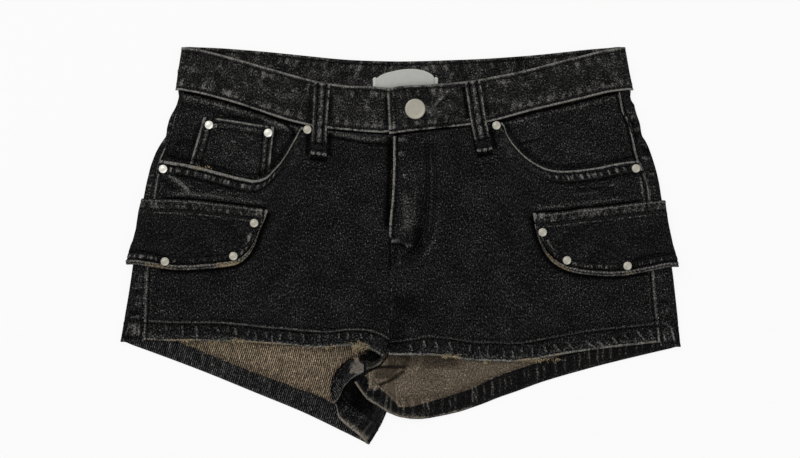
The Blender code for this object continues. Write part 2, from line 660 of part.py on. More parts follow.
def right_front_under(last):
    """End of the right front hem, turned under to the inseam."""
    rows = len(last)
    reach = (last[:, 2] - FOLD_TOP) / 2.0
    yield from half_turn(last[:, 0] + reach, last[:, 1], -1.0, last[:, 2],
                         np.full(rows, FOLD_TOP), drift=HEM_DRIFT)
    for fold in RIGHT_FRONT_UNDER:
        yield fold_column(fold, rows, len(PANEL_ROWS) - 2)


def nothing_under(last):
    """The left front panel ends at the centre."""
    return []


def sheet(name, sections, outer_level, thickness, finish, rows, columns):
    """Plain sheet with straight ends, its outer face at `outer_level`."""
    down = np.linspace(0.0, 1.0, rows)
    grid = []
    for row in spline(sections, np.linspace(0.0, 1.0, columns)):
        flat = along_section(row, down)
        grid.append(column(flat, outer_level(flat[:, 0], flat[:, 1])))
    return wall(name, grid, thickness, finish)


def level_at(height):
    """Level of a sheet that lies flat at one height."""
    return lambda x, y: np.full(np.broadcast(x, y).shape, height)


def facing_level(x, y):
    """Pocket facings lie just inside the front panels."""
    return front_level(x, y) - FACING_DROP


def flap_level(x, y):
    """Outer face of a pocket flap, moved out from the front panel's."""
    return front_level(x, y) + GAP + FLAP_CLOTH


def flap(name, sections, fold, back, inward):
    """Pocket flap from its front end round the side fold to its hidden back end."""
    down = np.linspace(0.0, 1.0, FLAP_ROWS)
    columns = []
    for row in spline(sections, np.linspace(0.0, 1.0, FLAP_COLUMNS)):
        flat = along_section(row, down)
        columns.append(column(flat, flap_level(flat[:, 0], flat[:, 1])))
    edge_x, edge_y = along_section(fold, down).T
    top = flap_level(edge_x, edge_y)
    columns.append(column(np.column_stack([edge_x + inward * top / 2.0, edge_y]), top))
    for place in half_turn(edge_x, edge_y, inward, top, np.zeros(FLAP_ROWS)):
        place[:, 3] = 1.0
        columns.append(place)
    columns += [column(along_section(row, down), 0.0) for row in back]
    return wall(name, columns, FLAP_CLOTH, DENIM)


def mirrored(sections, shift):
    """Sections on the other side of the garment, moved down by `shift`."""
    return [Section(-s.top_x, s.top_y - shift, -s.low_x, s.low_y - shift) for s in sections]


def waistband():
    """One long band from the under end round the back to the lapped end."""
    down = np.linspace(0.0, 1.0, BAND_ROWS)

    def columns(sections, count):
        rows = spline(sections, np.linspace(0.0, 1.0, count))
        return [column(along_section(row, down), row[4]) for row in rows]

    def turn(last, following, inward):
        reach = np.abs(last[:, 2] - following[:, 2]) / 2.0
        edge_x = (last[:, 0] + following[:, 0]) / 2.0 - inward * reach
        edge_y = (last[:, 1] + following[:, 1]) / 2.0
        return list(half_turn(edge_x, edge_y, inward, last[:, 2], following[:, 2]))

    right = columns(BAND_RIGHT_FRONT, 19)
    back = columns(BAND_BACK, 21)
    left = columns(BAND_LEFT_FRONT, 19)
    around = right + turn(right[-1], back[0], 1.0) + back + turn(back[-1], left[0], -1.0) + left
    return wall("waistband", around, BAND_CLOTH, BAND_DENIM)


def belt_loop(name, sections):
    """Belt loop over the front of the waistband, down on to the panel."""
    rows = spline(sections, np.linspace(0.0, 1.0, 9))
    places = (rows[:, :2], (rows[:, :2] + rows[:, 2:4]) / 2.0, rows[:, 2:4])
    return wall(name, [column(place, rows[:, 4]) for place in places], LOOP_CLOTH, LOOP_DENIM)


def back_belt_loop(name, x, top_y):
    """Belt loop pressed flat between the back of the waistband and the table."""
    half = BACK_LOOP_WIDTH / 2.0
    sections = [Section(x + side, top_y, x + side, top_y - BACK_LOOP_LENGTH)
                for side in (-half, half)]
    return sheet(name, sections, level_at(BACK_LOOP_CLOTH), BACK_LOOP_CLOTH, LOOP_DENIM, 5, 3)


def label():
    """Blank woven label standing up from the inner face of the back waistband."""
    top = BAND_BACK_LEVEL + BAND_CLOTH + GAP + LABEL_CLOTH
    return sheet("label", LABEL, level_at(top), LABEL_CLOTH, LABEL_WEAVE, 3, len(LABEL))


def rivets():
    """Flat round rivets at the pocket corners and along the flaps."""
    for rivet in RIVETS:
        around = np.linspace(0.0, 2.0 * np.pi, 12, endpoint=False)
        x = rivet.x + RIVET_RADIUS * np.cos(around)
        y = rivet.y + RIVET_RADIUS * np.sin(around)
        surface = front_level(x, y).max()
        if rivet.stands_on == "flap":
            surface += GAP + FLAP_CLOTH
        turned("rivet_" + rivet.name, RIVET_RINGS, RIVET_RADIUS, RIVET_HEIGHT, rivet,
               surface + GAP, NICKEL)


def build():
    """Every piece of the shorts."""
    clear_scene()
    back_panel("back_panel_right", RIGHT_SIDE, RIGHT_BACK, RIGHT_BACK_CENTRE, right_thigh,
               back_level, 1.0)
    back_panel("back_panel_left", LEFT_SIDE, LEFT_BACK, LEFT_BACK_CENTRE, left_thigh,
               left_back_level, -1.0)
    front_panel("front_panel_right", RIGHT_SIDE, RIGHT_FRONT, RIGHT_FRONT_CENTRE,
                right_front_under, front_level, 1.0)
    front_panel("front_panel_left", LEFT_SIDE, LEFT_FRONT, LEFT_FRONT_CENTRE,
                nothing_under, left_front_level, -1.0)
    sheet("pocket_facing_right", RIGHT_FACING, facing_level, CLOTH, FACING_DENIM, 6, 15)
    sheet("pocket_facing_left", LEFT_FACING, facing_level, CLOTH, FACING_DENIM, 6, 15)
    sheet("coin_pocket", COIN_POCKET, front_level, CLOTH, FACING_DENIM, 5, 9)
    flap("pocket_flap_right", RIGHT_FLAP, RIGHT_FLAP_FOLD, FLAP_BACK, 1.0)
    flap("pocket_flap_left", LEFT_FLAP, LEFT_FLAP_FOLD, mirrored(FLAP_BACK, FLAP_BACK_SHIFT), -1.0)
    waistband()
    belt_loop("belt_loop_front_right", RIGHT_LOOP)
    belt_loop("belt_loop_front_left", LEFT_LOOP)
    for name, x, top_y in BACK_LOOPS:
        back_belt_loop("belt_loop_back_" + name, x, top_y)
    label()
    turned("button", BUTTON_RINGS, BUTTON_RADIUS, BUTTON_HEIGHT, BUTTON_PLACE, LAP_LEVEL + GAP,
           NICKEL)
    rivets()


build()
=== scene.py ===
"""Visual model of women's cargo shorts in washed denim, laid flat with the front up.

Lengths are millimetres until a mesh is written. +X runs to the wearer's left, +Y to the
waist and +Z up from the surface that the shorts lie on. Right and left are the wearer's.

Each cloth piece is a grid of its outer face. Its rows run from the waist to the hem and its
columns across, and the thickness of the cloth goes inwards.
"""
import logging
import math
from collections.abc import Callable, Iterator, Sequence
from dataclasses import dataclass, field, replace
from enum import Enum
from typing import Any, NamedTuple

import bpy
import numpy as np
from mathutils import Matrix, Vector
from mathutils.kdtree import KDTree


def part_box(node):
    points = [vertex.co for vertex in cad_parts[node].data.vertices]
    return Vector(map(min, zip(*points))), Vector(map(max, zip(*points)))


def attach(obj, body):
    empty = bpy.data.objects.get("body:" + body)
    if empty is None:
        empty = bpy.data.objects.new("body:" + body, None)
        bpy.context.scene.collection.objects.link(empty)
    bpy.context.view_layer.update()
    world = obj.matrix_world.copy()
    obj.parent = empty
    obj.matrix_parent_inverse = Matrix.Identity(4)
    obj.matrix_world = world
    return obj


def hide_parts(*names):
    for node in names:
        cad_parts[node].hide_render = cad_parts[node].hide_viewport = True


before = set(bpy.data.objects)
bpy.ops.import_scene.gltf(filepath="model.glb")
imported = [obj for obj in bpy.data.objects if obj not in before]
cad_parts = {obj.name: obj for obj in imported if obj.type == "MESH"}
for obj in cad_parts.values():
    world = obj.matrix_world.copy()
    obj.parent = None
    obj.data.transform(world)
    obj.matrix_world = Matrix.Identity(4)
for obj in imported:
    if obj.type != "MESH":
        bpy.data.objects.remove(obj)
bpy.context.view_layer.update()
LOG = logging.getLogger("shorts")
Array = np.ndarray
Mesh = bpy.types.Mesh
Socket = bpy.types.NodeSocket
Line = tuple[tuple[float, float], ...]      # places on the table, or pairs along a border
Colour = tuple[float, float, float, float]
Three = tuple[float, float, float]
Seam = tuple[Array, Array]                  # points of a line of stitches, and normals there

MM = 0.001

# ---- cloth and gaps
GAP = 0.3               # between two pieces that touch
SEAM_GAP = 0.5          # between two pieces that meet edge to edge
CLOTH = 1.0             # one layer of denim
HEM_CLOTH = 1.8         # denim turned up twice, pressed
HEM_DEPTH = 16.0        # height of the turned-up hem
HEM_STEP = 0.8          # width over which the wall thickens into the hem
PRESSED = 0.72          # share of its thickness that cloth keeps round a sharp fold
BAND_CLOTH = 2.0        # waistband, two layers with seam allowance
FLAP_CLOTH = 2.0        # pocket flap, two layers with piping
LOOP_CLOTH = 1.6        # folded belt loop
BACK_LOOP_CLOTH = 1.1   # belt loop pressed under the band
LABEL_CLOTH = 0.5
FACING_DROP = 1.6       # pocket facings inside the front panels

# ---- levels of the outer faces
FRONT_LEVEL = 4.4       # front panels where nothing lies underneath them
BAND_LEVEL = 6.7        # front of the waistband
LAP_LEVEL = 9.1         # lapped end of the waistband over the under end
BAND_BACK_LEVEL = 1.4   # underside of the back of the waistband
WAIST_FRONT_LIFT = 1.8  # front panels rise by this to the waistband seam
WAIST_HOLD = 14.0       # the lift stays full for this far below the seam
WAIST_FADE = 34.0
LAP_LIFT = 1.6          # left front panel over the right one at the centre
LAP_FADE = 18.0
CROTCH_LEVEL = 4.9      # left back panel where it crosses the folded inner thigh
FOLD_UPPER = 4.6        # right inner thigh, layer with the outer face up
FOLD_TOP = 5.2          # right inner thigh, layer with the outer face down


class Raised(NamedTuple):
    """Place where the panels are lifted by what lies beneath them."""

    x: float
    y: float
    half_x: float
    half_y: float
    fade: float
    back: float
    front: float


class Side(NamedTuple):
    """Side fold and outseam at one height."""

    y: float
    fold_x: float
    seam_x: float


class Section(NamedTuple):
    """One straight section of a piece, from its top edge to its low edge."""

    top_x: float
    top_y: float
    low_x: float
    low_y: float


class Point(NamedTuple):
    """Place on the table."""

    x: float
    y: float


class Fold(NamedTuple):
    """One line down an inner thigh, from the crotch to the hem."""

    top_x: float
    top_y: float
    mid_x: float
    mid_y: float
    hem_x: float
    hem_y: float
    level: float


class Band(NamedTuple):
    """Section of the waistband."""

    top_x: float
    top_y: float
    low_x: float
    low_y: float
    level: float


class Loop(NamedTuple):
    """Section across a belt loop."""

    left_x: float
    left_y: float
    right_x: float
    right_y: float
    level: float


class RivetPlace(NamedTuple):
    """Where a rivet stands."""

    name: str
    x: float
    y: float


class Ring(NamedTuple):
    """Ring of a turned part, as shares of its radius and height."""

    radius: float
    height: float


def rows(kind: Callable[..., Any], values: Sequence[Sequence[Any]], *last: Any) -> tuple[Any, ...]:
    """Rows of a table as one kind of tuple, each ending with the values that all share."""
    return tuple(kind(*row, *last) for row in values)


# ---- trims
BUTTON_RADIUS = 8.5
BUTTON_HEIGHT = 3.0
RIVET_RADIUS = 3.6
RIVET_HEIGHT = 1.2

# ---- places that are raised
RAISED = (
    Raised(-192, 8, 37, 34, 26, 2.6, 2.6),    # over the back of the right flap
    Raised(194, 5, 37, 35, 26, 2.6, 2.6),     # over the back of the left flap
    Raised(-18, -92, 16, 12, 60, 0, 5.7),   # over the folded inner thigh
)

# ---- sides, a row each level
RIGHT_SIDE = rows(Side, (
    (126, -182.4, -177.6), (105.5, -188, -183.8), (84, -196, -190.3), (69.5, -203, -197.3),
    (53, -208, -200.5), (36.5, -211, -203), (0.5, -217, -207.1), (-39, -222.6, -209.7),
    (-79, -229.8, -211.2)))
LEFT_SIDE = rows(Side, (
    (126, 189.2, 178.9), (105.5, 193.7, 184.4), (84, 201.2, 190.8), (69.5, 206.9, 195),
    (53, 211.6, 202.5), (36.5, 214.2, 204.8), (0.5, 220, 206.4), (-39, 225.3, 208.9),
    (-83, 230, 213.7)))

# ---- sections from waist to hem
RIGHT_FRONT = rows(Section, (
    (-194.5, 69, -210, -78), (-172.5, 65, -189, -79), (-150.5, 59.5, -169.5, -79),
    (-128.5, 54, -151.5, -79), (-113.5, 53.5, -139, -79.5), (-100.4, 65, -126.5, -80),
    (-91.9, 77.1, -114.5, -81), (-86.3, 87, -99.5, -82), (-79, 97, -80, -84),
    (-61, 95, -62, -84.5), (-41.5, 93.5, -43, -83), (-17, 91.5, -27, -85), (0, 91, -16.5, -90.5)))
LEFT_FRONT = rows(Section, (
    (194.5, 68.5, 213, -80), (178.5, 66.5, 190, -82.5), (162, 63.1, 167, -85),
    (142.5, 60.6, 145.5, -88), (124.2, 60.9, 124, -91.5), (108.9, 67.4, 108, -94.5),
    (97.4, 76.9, 92, -96), (88.4, 88.3, 76.5, -95.5), (81.5, 101, 58.5, -95), (62, 98, 42, -92.5),
    (39, 95.8, 26, -90.7), (16, 93.2, 8.5, -90.6), (-5.5, 90, -9.5, -90)))
RIGHT_BACK = rows(Section, (
    (-182.4, 126, -229.8, -79), (-152, 122, -200.5, -89.3), (-123.5, 119.5, -161, -104.1),
    (-90.5, 116.5, -122, -119.9), (-58, 113.5, -82.5, -136), (-29, 111.5, -49.5, -151.5),
    (-0.3, 111.5, -28, -162.4)))
LEFT_BACK = rows(Section, (
    (189.2, 126, 230, -83), (152, 122, 203, -89.2), (123.5, 119.5, 163.5, -98.9),
    (90.5, 116.5, 124, -110.2), (58, 113.5, 85, -123.3), (29, 111.5, 45.5, -137.5),
    (0.3, 111.5, 1, -141.8)))
RIGHT_FACING = rows(Section, (
    (-176.9, 126, -195.5, 60), (-160.5, 122.2, -174, 55.5), (-138, 116.2, -153, 49.5),
    (-117, 109.4, -129, 44.5), (-99, 103.2, -110.5, 44.5), (-87.5, 100.3, -96.5, 54.5),
    (-81, 98.8, -85.5, 67.5), (-75, 97.2, -76, 85.5)))
LEFT_FACING = rows(Section, (
    (178, 125.8, 196, 59), (158.5, 121, 176.5, 54.5), (139, 116, 158.5, 51), (121, 112, 139, 49.5),
    (106, 108.5, 122.5, 51), (94, 105.2, 108, 58), (85.5, 102.8, 93, 69.5),
    (78.5, 101, 82.5, 87.5)))
COIN_POCKET = rows(Section, (
    (-161.4, 104.2, -172.4, 66.7), (-147, 102.8, -154.5, 62), (-133, 100.8, -137.5, 57.7),
    (-118.5, 98.3, -122, 55.2), (-103.9, 96.2, -107.9, 60)))
RIGHT_FLAP = rows(Section, (
    (-109, 28, -112, 20), (-113.5, 29, -116.5, 9.5), (-119.5, 30, -120.5, -2),
    (-126, 30.8, -126.5, -10.5), (-135, 32, -134.5, -16), (-148, 33.5, -148, -18.5),
    (-164.5, 35.5, -165, -20), (-181, 36.5, -183.5, -20.5), (-197, 37, -200.5, -18.5)))
LEFT_FLAP = rows(Section, (
    (109, 25.5, 111, 13.5), (113.5, 25.5, 114, 3.5), (119.5, 25.7, 119.5, -8),
    (126, 26.1, 126.5, -15.5), (135.5, 27, 136.5, -21), (149, 29, 149.5, -24),
    (165, 30.5, 166, -25.5), (181.5, 32.5, 184, -25), (198, 34.5, 206, -21)))
# Right flap; the left is mirrored.
FLAP_BACK = rows(Section, (
    (-196, 37, -204, -17.5), (-184, 36, -187, -19.5), (-172, 35, -172.5, -15),
    (-164, 34, -163.5, -3), (-160, 33, -159, 14)))
RIGHT_FLAP_FOLD = Section(-213.2, 37.5, -225, -16)
LEFT_FLAP_FOLD = Section(216.8, 36, 228.2, -18)
FLAP_BACK_SHIFT = 2.5                                    # left flap lies this much lower

# ---- centre edges, a row each level
RIGHT_FRONT_CENTRE = rows(Point, (
    (0, 91), (-1, 65), (-1.8, 39), (-2.2, 13), (-2.5, -13), (-3, -39), (-5, -64), (-16.5, -90.5)))
LEFT_FRONT_CENTRE = rows(Point, (
    (-5.8, 90), (-5.7, 64), (-6.7, 39), (-9, 13), (-8.8, -13), (-8, -39), (-8, -65), (-9.5, -90)))
RIGHT_BACK_CENTRE = rows(Point, (
    (-0.3, 111.5), (-1, 72.5), (-1.8, 33), (-3, -6), (-5.5, -45), (-7.6, -84), (-8.5, -123),
    (-28, -162.4)))
LEFT_BACK_CENTRE = rows(Point, (
    (0.3, 111.5), (-0.4, 69.5), (-1.3, 27), (-2.7, -15), (-5.2, -57), (-7, -100), (1, -141.8)))

# ---- upper edges of the back hems
RIGHT_HEM_LINE = ((-182, -80), (-158, -89.8), (-123.4, -103.7), (-79, -120.1), (-61, -126.7))
RIGHT_HEM_SPOTS = (
    (-41, -97, 3.6), (-44.5, -101.5, 5), (-48.5, -106.5, 5.5), (-51.5, -112, 5.5), (-53, -118, 5),
    (-36, -100, 4), (-30, -92.5, 3), (-24, -91.8, 4.6), (-18.5, -91.6, 3.6))
LEFT_HEM_SPOTS = ((-33, -106, 3.2), (-31, -111.5, 4.2), (-29.5, -117, 4))
LEFT_HEM_LINE = (
    (-38, -106), (-26.5, -118), (-21.5, -118.5), (-17, -117.5), (-13.5, -120.5), (-5.5, -127),
    (-0.4, -133.7), (9.4, -132.8), (29.9, -127.1), (56.2, -119.3), (78.3, -108.6), (98, -101.3))

# ---- inner thighs, a row each fold
# Outer face up, over the back panel.
RIGHT_THIGH_LOWER = rows(Fold, (
    (-15, -104, -23, -132, -34, -156), (-21, -100.5, -32, -126, -42.5, -149.5),
    (-26.5, -97.5, -41, -119.5, -50, -142.5)), FOLD_UPPER)
RIGHT_THIGH_EDGE = Fold(-38.5, -92.5, -53, -108.5, -57, -130, (FOLD_UPPER + FOLD_TOP) / 2)
# Inner face up, to the inseam.
RIGHT_THIGH_UPPER = rows(Fold, (
    (-35.5, -92.5, -42.5, -105, -46.5, -116.5), (-33, -92, -36.5, -101.5, -39.5, -109.5),
    (-30.5, -91.5, -30.5, -98, -30.5, -104.4)), FOLD_TOP)
# Front hem turned under to the inseam.
RIGHT_FRONT_UNDER = rows(Fold, (
    (-16.5, -81, -17, -89, -15.9, -96.8), (-22.5, -85.5, -22.5, -92.5, -20, -99.8),
    (-29.5, -91, -28.6, -97.5, -27.5, -102.6)), FOLD_TOP)
# Lies across the right inner thigh.
LEFT_THIGH = rows(Fold, (
    (-12, -94.5, -10.5, -114, -9.5, -138), (-17, -100, -17.5, -112.5, -19, -132),
    (-23, -103.5, -24.5, -112, -27, -127), (-29, -107, -30.5, -111.5, -33, -119.5),
    (-33.5, -110, -35, -111.3, -37.5, -113)), CROTCH_LEVEL)

# ---- waistband, a row each section
# From the under end to the right side.
BAND_RIGHT_FRONT = rows(Band, (
    (20, 128, 20, 97.5), (1, 128, 0.5, 95.5), (-12, 128.5, -12, 92.2), (-25, 129.5, -25, 92.5),
    (-45.5, 130.2, -45.5, 94.2), (-69.5, 134, -73, 97.5), (-90.5, 139.5, -99, 104),
    (-113.5, 146, -123.5, 112.5), (-138, 153, -150, 120.3), (-160.5, 158.8, -168.5, 124.8),
    (-177, 161.5, -182, 126.9)), BAND_LEVEL)
# Round the back.
BAND_BACK = rows(Band, (
    (-177, 161.8, -182, 126.6), (-151.5, 161, -152, 122.7), (-112, 158, -123.5, 120.2),
    (-72.5, 154, -90.5, 117.2), (-41.5, 151.2, -58, 114.2), (-0.5, 150, -0.5, 112.2),
    (40.5, 151, 58, 114.2), (75, 152.5, 90.5, 117.2), (114.5, 155.5, 123.5, 120.2),
    (154, 159.7, 152, 122.7), (181.6, 161.8, 188.4, 126.6)), BAND_BACK_LEVEL)
# From the left side to the lapped end.
BAND_LEFT_FRONT = rows(Band, (
    (181.6, 161.5, 188.4, 126.9), (163.5, 158.5, 171.5, 125.2), (148, 154.5, 155.5, 121.4),
    (124, 148.5, 131, 115.6), (101.5, 142.5, 106, 109.6), (81.5, 138.5, 85.5, 104),
    (64.5, 135.2, 67, 99.6), (50, 133.2, 50, 97.6)), BAND_LEVEL
) + rows(Band, (
    (26, 131, 25, 95), (3.5, 130, 3, 92.7), (-10.8, 127.8, -9, 90.7)), LAP_LEVEL)

# ---- belt loops
RIGHT_LOOP = rows(Loop, (
    (-70.5, 132.8, -58, 131, 8.6), (-72, 98, -60.5, 97, 8.6), (-72.8, 85, -60.8, 83.5, 7.9),
    (-73.5, 73, -61, 71.5, 7.3)))
LEFT_LOOP = rows(Loop, (
    (53, 132.5, 65, 134.8, 8.7), (57.5, 103, 69.5, 105, 8.7), (60.5, 88, 72.5, 90, 8.1),
    (63.5, 74.5, 75.5, 77, 7.4)))
BACK_LOOPS = (("right", -95, 155.5), ("centre", 0, 149), ("left", 97, 153))
BACK_LOOP_WIDTH = 12.0
BACK_LOOP_LENGTH = 46.0

# ---- label, a row each section
LABEL = tuple(Section(x, y, x, 122) for x, y in (
    (-22.6, 136), (-21.2, 137.2), (-19.7, 136.6), (-17, 138.3), (-13.4, 140.1), (-7, 141.9),
    (0, 143.3), (8, 144), (15.5, 143.4), (21.5, 141.7), (26.2, 138.9), (28, 136.8), (29.2, 137.4),
    (30.6, 136.4)))

# ---- metal parts
RIVETS = rows(RivetPlace, (
    ("coin_outer", -157, 98), ("coin_inner", -108.5, 91.5), ("right_mouth_inner", -76.3, 94.2),
    ("right_mouth_outer", -194.7, 61.9), ("left_mouth_inner", 78.7, 97.6),
    ("left_mouth_outer", 193.2, 62.4), ("right_flap_top", -120, 17.5),
    ("right_flap_corner", -137, -9.5), ("right_flap_middle", -193, -14),
    ("left_flap_top", 116.5, 10), ("left_flap_corner", 136.5, -13),
    ("left_flap_middle", 186, -17.5)))
BUTTON_PLACE = Point(12, 111)


# ---- rows and columns of the grids
PANEL_ROWS = (0, 0.07, 0.14, 0.23, 0.33, 0.44, 0.55, 0.66, 0.76, 0.85, 0.90, 0.95, 1)
CROTCH_ROW = 9          # inner thighs start at this row
HEM_START = 0.72        # share of an inner thigh above its hem
FOLD_LEAN = 0.45        # slant of the right inner thigh's lower fold
HEM_DRIFT = -2.5        # the right front hem runs down as it turns under
FRONT_COLUMNS = 21
BACK_COLUMNS = 17
FLAP_ROWS, FLAP_COLUMNS = 9, 17
BAND_ROWS = 5
ARC_STEPS = 6           # round a fold
EDGE_STEPS = 2          # round the inner thigh's upper fold, each way
ROLL_AT = (0.3, 0.8)    # extra rows and columns this far from an edge
EDGE_REACH = 10.0       # rows and columns are closer this near to an edge
EDGE_SHARE = 0.5        # by this share
RIM_ANGLES = (math.radians(45.0), math.radians(90.0), math.radians(135.0))
FACES_DOWN = 0.3        # a side whose normals point down by more than this has larger faces
FACING = 0.2            # least upright part of the normal where cloth faces up or down
TINY = 1e-6             # shortest chord
SMALL = 1e-9            # keeps a division from nothing
ENDLESS = 1e6           # further than any border is long
SEAM_START = 1.0        # stitches begin this far along a border
NO_HEM = 9.0            # height above the hem where a piece has none
LEAST_SHEET = 0.0101    # shortest sheet that the library takes, in metres
THREAD_SEED = 11        # loose threads of each piece
NO_DRIFT = ((0.0, 0.0),)
SEAM_HALF = 185.0       # waistband seam, from the centre to the sides
SEAM_LIMIT = 1.2        # its curve ends at this share of that
BACK_SEAM = 111.5       # the seam at the centre back, and how much it rises to the sides
BACK_SEAM_RISE = 13.0
FRONT_SEAM = 91.5       # the same at the centre front
FRONT_SEAM_RISE = 36.0
FRONT_SEAM_BEND = 1.5
LAP_EDGE = 3.0          # the left front panel is at its highest up to here
CROTCH_Y = -101.0       # the left back panel is highest here and fades round it
CROTCH_ACROSS = 40.0
CROTCH_ALONG = 60.0
SEAM_POINTS = 9         # along an outseam
BAND_FRONT_COLUMNS, BAND_BACK_COLUMNS = 19, 21
LOOP_ROWS = 9
CELL_SHARE = 0.9        # extra rows stay within this share of the first cell
LATTICE = 64            # a random field repeats after this many values
FIELD_START = 1000.0    # and starts this far from its corner
CREASE_STEPS = 8        # along each part of a crease
MOUTH_SEAMS = (2.4, 8.0)    # rows along a pocket mouth
MOUTH_SEAM_END = 3.0        # they stop this far before its end
HEM_SEAM = 15.0         # row along the hem, above its edge
HEM_SEAM_START = 4.0
FLY_POINTS = 90         # along a row of the fly
EDGE_PATCH, TAN_PATCH, TRACE_PATCH = 3.0, 14.0, 2.2     # size of uneven places
ROLL_VARIES = (0.9, 0.2)            # mean share, and how far it varies
WEAR_AND_SHADE_VARIES = (0.85, 0.3)
TAN_VARIES = (0.35, 0.65)
TRACE_VARIES = (0.75, 0.35)
SPOT_VARIES = (0.8, 0.3)
TAN_CONTRAST = 1.6
PUCKER_FADE = 0.6                   # how fast puckers grow at the sides of their band
# Pucker ridges are worn lighter; their troughs, below the second level, get painted shade.
PUCKER_LEVEL, PUCKER_SHADE_LEVEL = 0.35, 0.3     # part of a pucker below the cloth
SPOT_PATCH, SPOT_SEED = 2.0, 31
SECOND_WAVE = 2.3                   # the smaller waves are so much shorter
PLEAT_SHADE = 1.9                   # from a pleat to its shaded side
FACING_SEAM = (120.0, 50.0)         # outseam that a facing follows
FACING_FOLLOWS = (55.0, 118.0)      # from here to there along it
FACING_SHARES = (1.0, 0.5, 0.2)     # first columns move by these shares


def hermite(t: Array, first: Array, slope: Array, second: Array, last_slope: Array) -> Array:
    """Cubic curve from one value to a second with a slope at each, `t` being from 0 to 1."""
    return (first * (2 * t ** 3 - 3 * t ** 2 + 1) + slope * (t ** 3 - 2 * t ** 2 + t)
            + second * (3 * t ** 2 - 2 * t ** 3) + last_slope * (t ** 3 - t ** 2))


def spline(rows: Sequence[Sequence[float]] | Array, at: Any) -> Array:
    """Values of a smooth curve through evenly spaced rows.

    Args:
        rows: Values at each knot.
        at: Places on the curve, 0 at the first row and 1 at the last.

    Returns:
        The values at those places.
    """
    rows = np.asarray([tuple(row) for row in rows], float)
    place = np.clip(np.asarray(at, float), 0.0, 1.0) * (len(rows) - 1)
    index = np.minimum(place.astype(int), len(rows) - 2)
    before, after = rows[np.maximum(index - 1, 0)], rows[np.minimum(index + 2, len(rows) - 1)]
    first, second = rows[index], rows[index + 1]
    return hermite(
        (place - index)[..., None], first, (second - before) / 2.0, second, (after - first) / 2.0)


def soft(distance: Any, fade: float) -> Array:
    """1 where the distance is below nothing, falling smoothly to 0 at `fade`."""
    t = np.clip(1.0 - np.asarray(distance, float) / fade, 0.0, 1.0)
    return t * t * (3.0 - 2.0 * t)


def bell(distance: Any, width: float) -> Array:
    """Bell curve, 1 in the middle."""
    return np.exp(-(np.asarray(distance, float) / width) ** 2)


def raised(x: Any, y: Any, side: str) -> Array:
    """Lift of the back or front panels over what lies beneath them.

    Args:
        x: Places across.
        y: Places along.
        side: "back" or "front".

    Returns:
        The lift at each place.
    """
    lift = np.zeros(np.broadcast(x, y).shape)
    for place in RAISED:
        across = soft(np.abs(x - place.x) - place.half_x, place.fade)
        along = soft(np.abs(y - place.y) - place.half_y, place.fade)
        lift = np.maximum(lift, getattr(place, side) * across * along)
    return lift


def back_seam_y(x: Any) -> Array:
    """Height on the table of the seam between back panels and waistband."""
    return BACK_SEAM + BACK_SEAM_RISE * (np.asarray(x, float) / SEAM_HALF) ** 2


def front_seam_y(x: Any) -> Array:
    """Height on the table of the seam between front panels and waistband."""
    share = np.clip(np.abs(np.asarray(x, float)) / SEAM_HALF, 0.0, SEAM_LIMIT)
    return FRONT_SEAM + FRONT_SEAM_RISE * share ** FRONT_SEAM_BEND


def back_level(x: Any, y: Any) -> Array:
    """Outer (lower) face of the back panels above the table."""
    waist = BAND_BACK_LEVEL * soft(back_seam_y(x) - y - WAIST_HOLD, WAIST_FADE)
    return np.maximum(raised(x, y, "back"), waist)


def front_level(x: Any, y: Any) -> Array:
    """Outer (upper) face of the front panels above the table."""
    waist = WAIST_FRONT_LIFT * soft(front_seam_y(x) - y - WAIST_HOLD, WAIST_FADE)
    return FRONT_LEVEL + np.maximum(raised(x, y, "front"), waist)


def left_front_level(x: Any, y: Any) -> Array:
    """Outer face of the left front panel, which laps over the right one at the centre."""
    return front_level(x, y) + LAP_LIFT * soft(np.asarray(x, float) - LAP_EDGE, LAP_FADE)


def left_back_level(x: Any, y: Any) -> Array:
    """Outer face of the left back panel, which climbs over the folded inner thigh."""
    across = soft(np.asarray(x, float), CROTCH_ACROSS)
    along = soft(np.asarray(y, float) - CROTCH_Y, CROTCH_ALONG)
    return np.maximum(back_level(x, y), CROTCH_LEVEL * across * along)


def facing_level(x: Any, y: Any) -> Array:
    """Pocket facings lie just inside the front panels."""
    return front_level(x, y) - FACING_DROP


def coin_level(x: Any, y: Any) -> Array:
    """The coin pocket lies on the right facing."""
    return facing_level(x, y) + GAP + CLOTH


def flap_level(x: Any, y: Any) -> Array:
    """Outer face of a pocket flap, moved out from the front panel's."""
    return front_level(x, y) + GAP + FLAP_CLOTH


def patch(sections: Sequence[Section], start: Sequence[Point], end: Sequence[Point], across: Array,
    down: Array) -> Array:
    """Points of a sheet bounded by the ends of its sections and by two edge curves.

    Args:
        sections: Sections whose ends give the top and low edges.
        start: Edge curve at the first column.
        end: Edge curve at the last column.
        across: Place of each column, from 0 to 1.
        down: Place of each row in each column, from 0 to 1.

    Returns:
        Places on the table, one for each row and column.
    """
    ends = np.asarray([tuple(row) for row in sections], float)
    top, low = spline(ends[:, :2], across)[None], spline(ends[:, 2:], across)[None]
    u, v = across[None, :, None], down[..., None]
    first, last = spline(start, down), spline(end, down)
    corners = ((1 - u) * (1 - v) * ends[0, :2] + (1 - u) * v * ends[0, 2:]
               + u * (1 - v) * ends[-1, :2] + u * v * ends[-1, 2:])
    return (1 - v) * top + v * low + (1 - u) * first + u * last - corners


def hem_rows(sections: Sequence[Section], across: Array) -> Array:
    """Row places down each column, with the last rows at the turned-up hem."""
    ends = spline(sections, across)
    length = np.hypot(ends[:, 2] - ends[:, 0], ends[:, 3] - ends[:, 1])
    hem = 1.0 - HEM_DEPTH / length
    return np.array([fraction * hem for fraction in PANEL_ROWS]
                    + [hem + HEM_STEP / length, (hem + 1.0) / 2.0, np.ones_like(hem)])


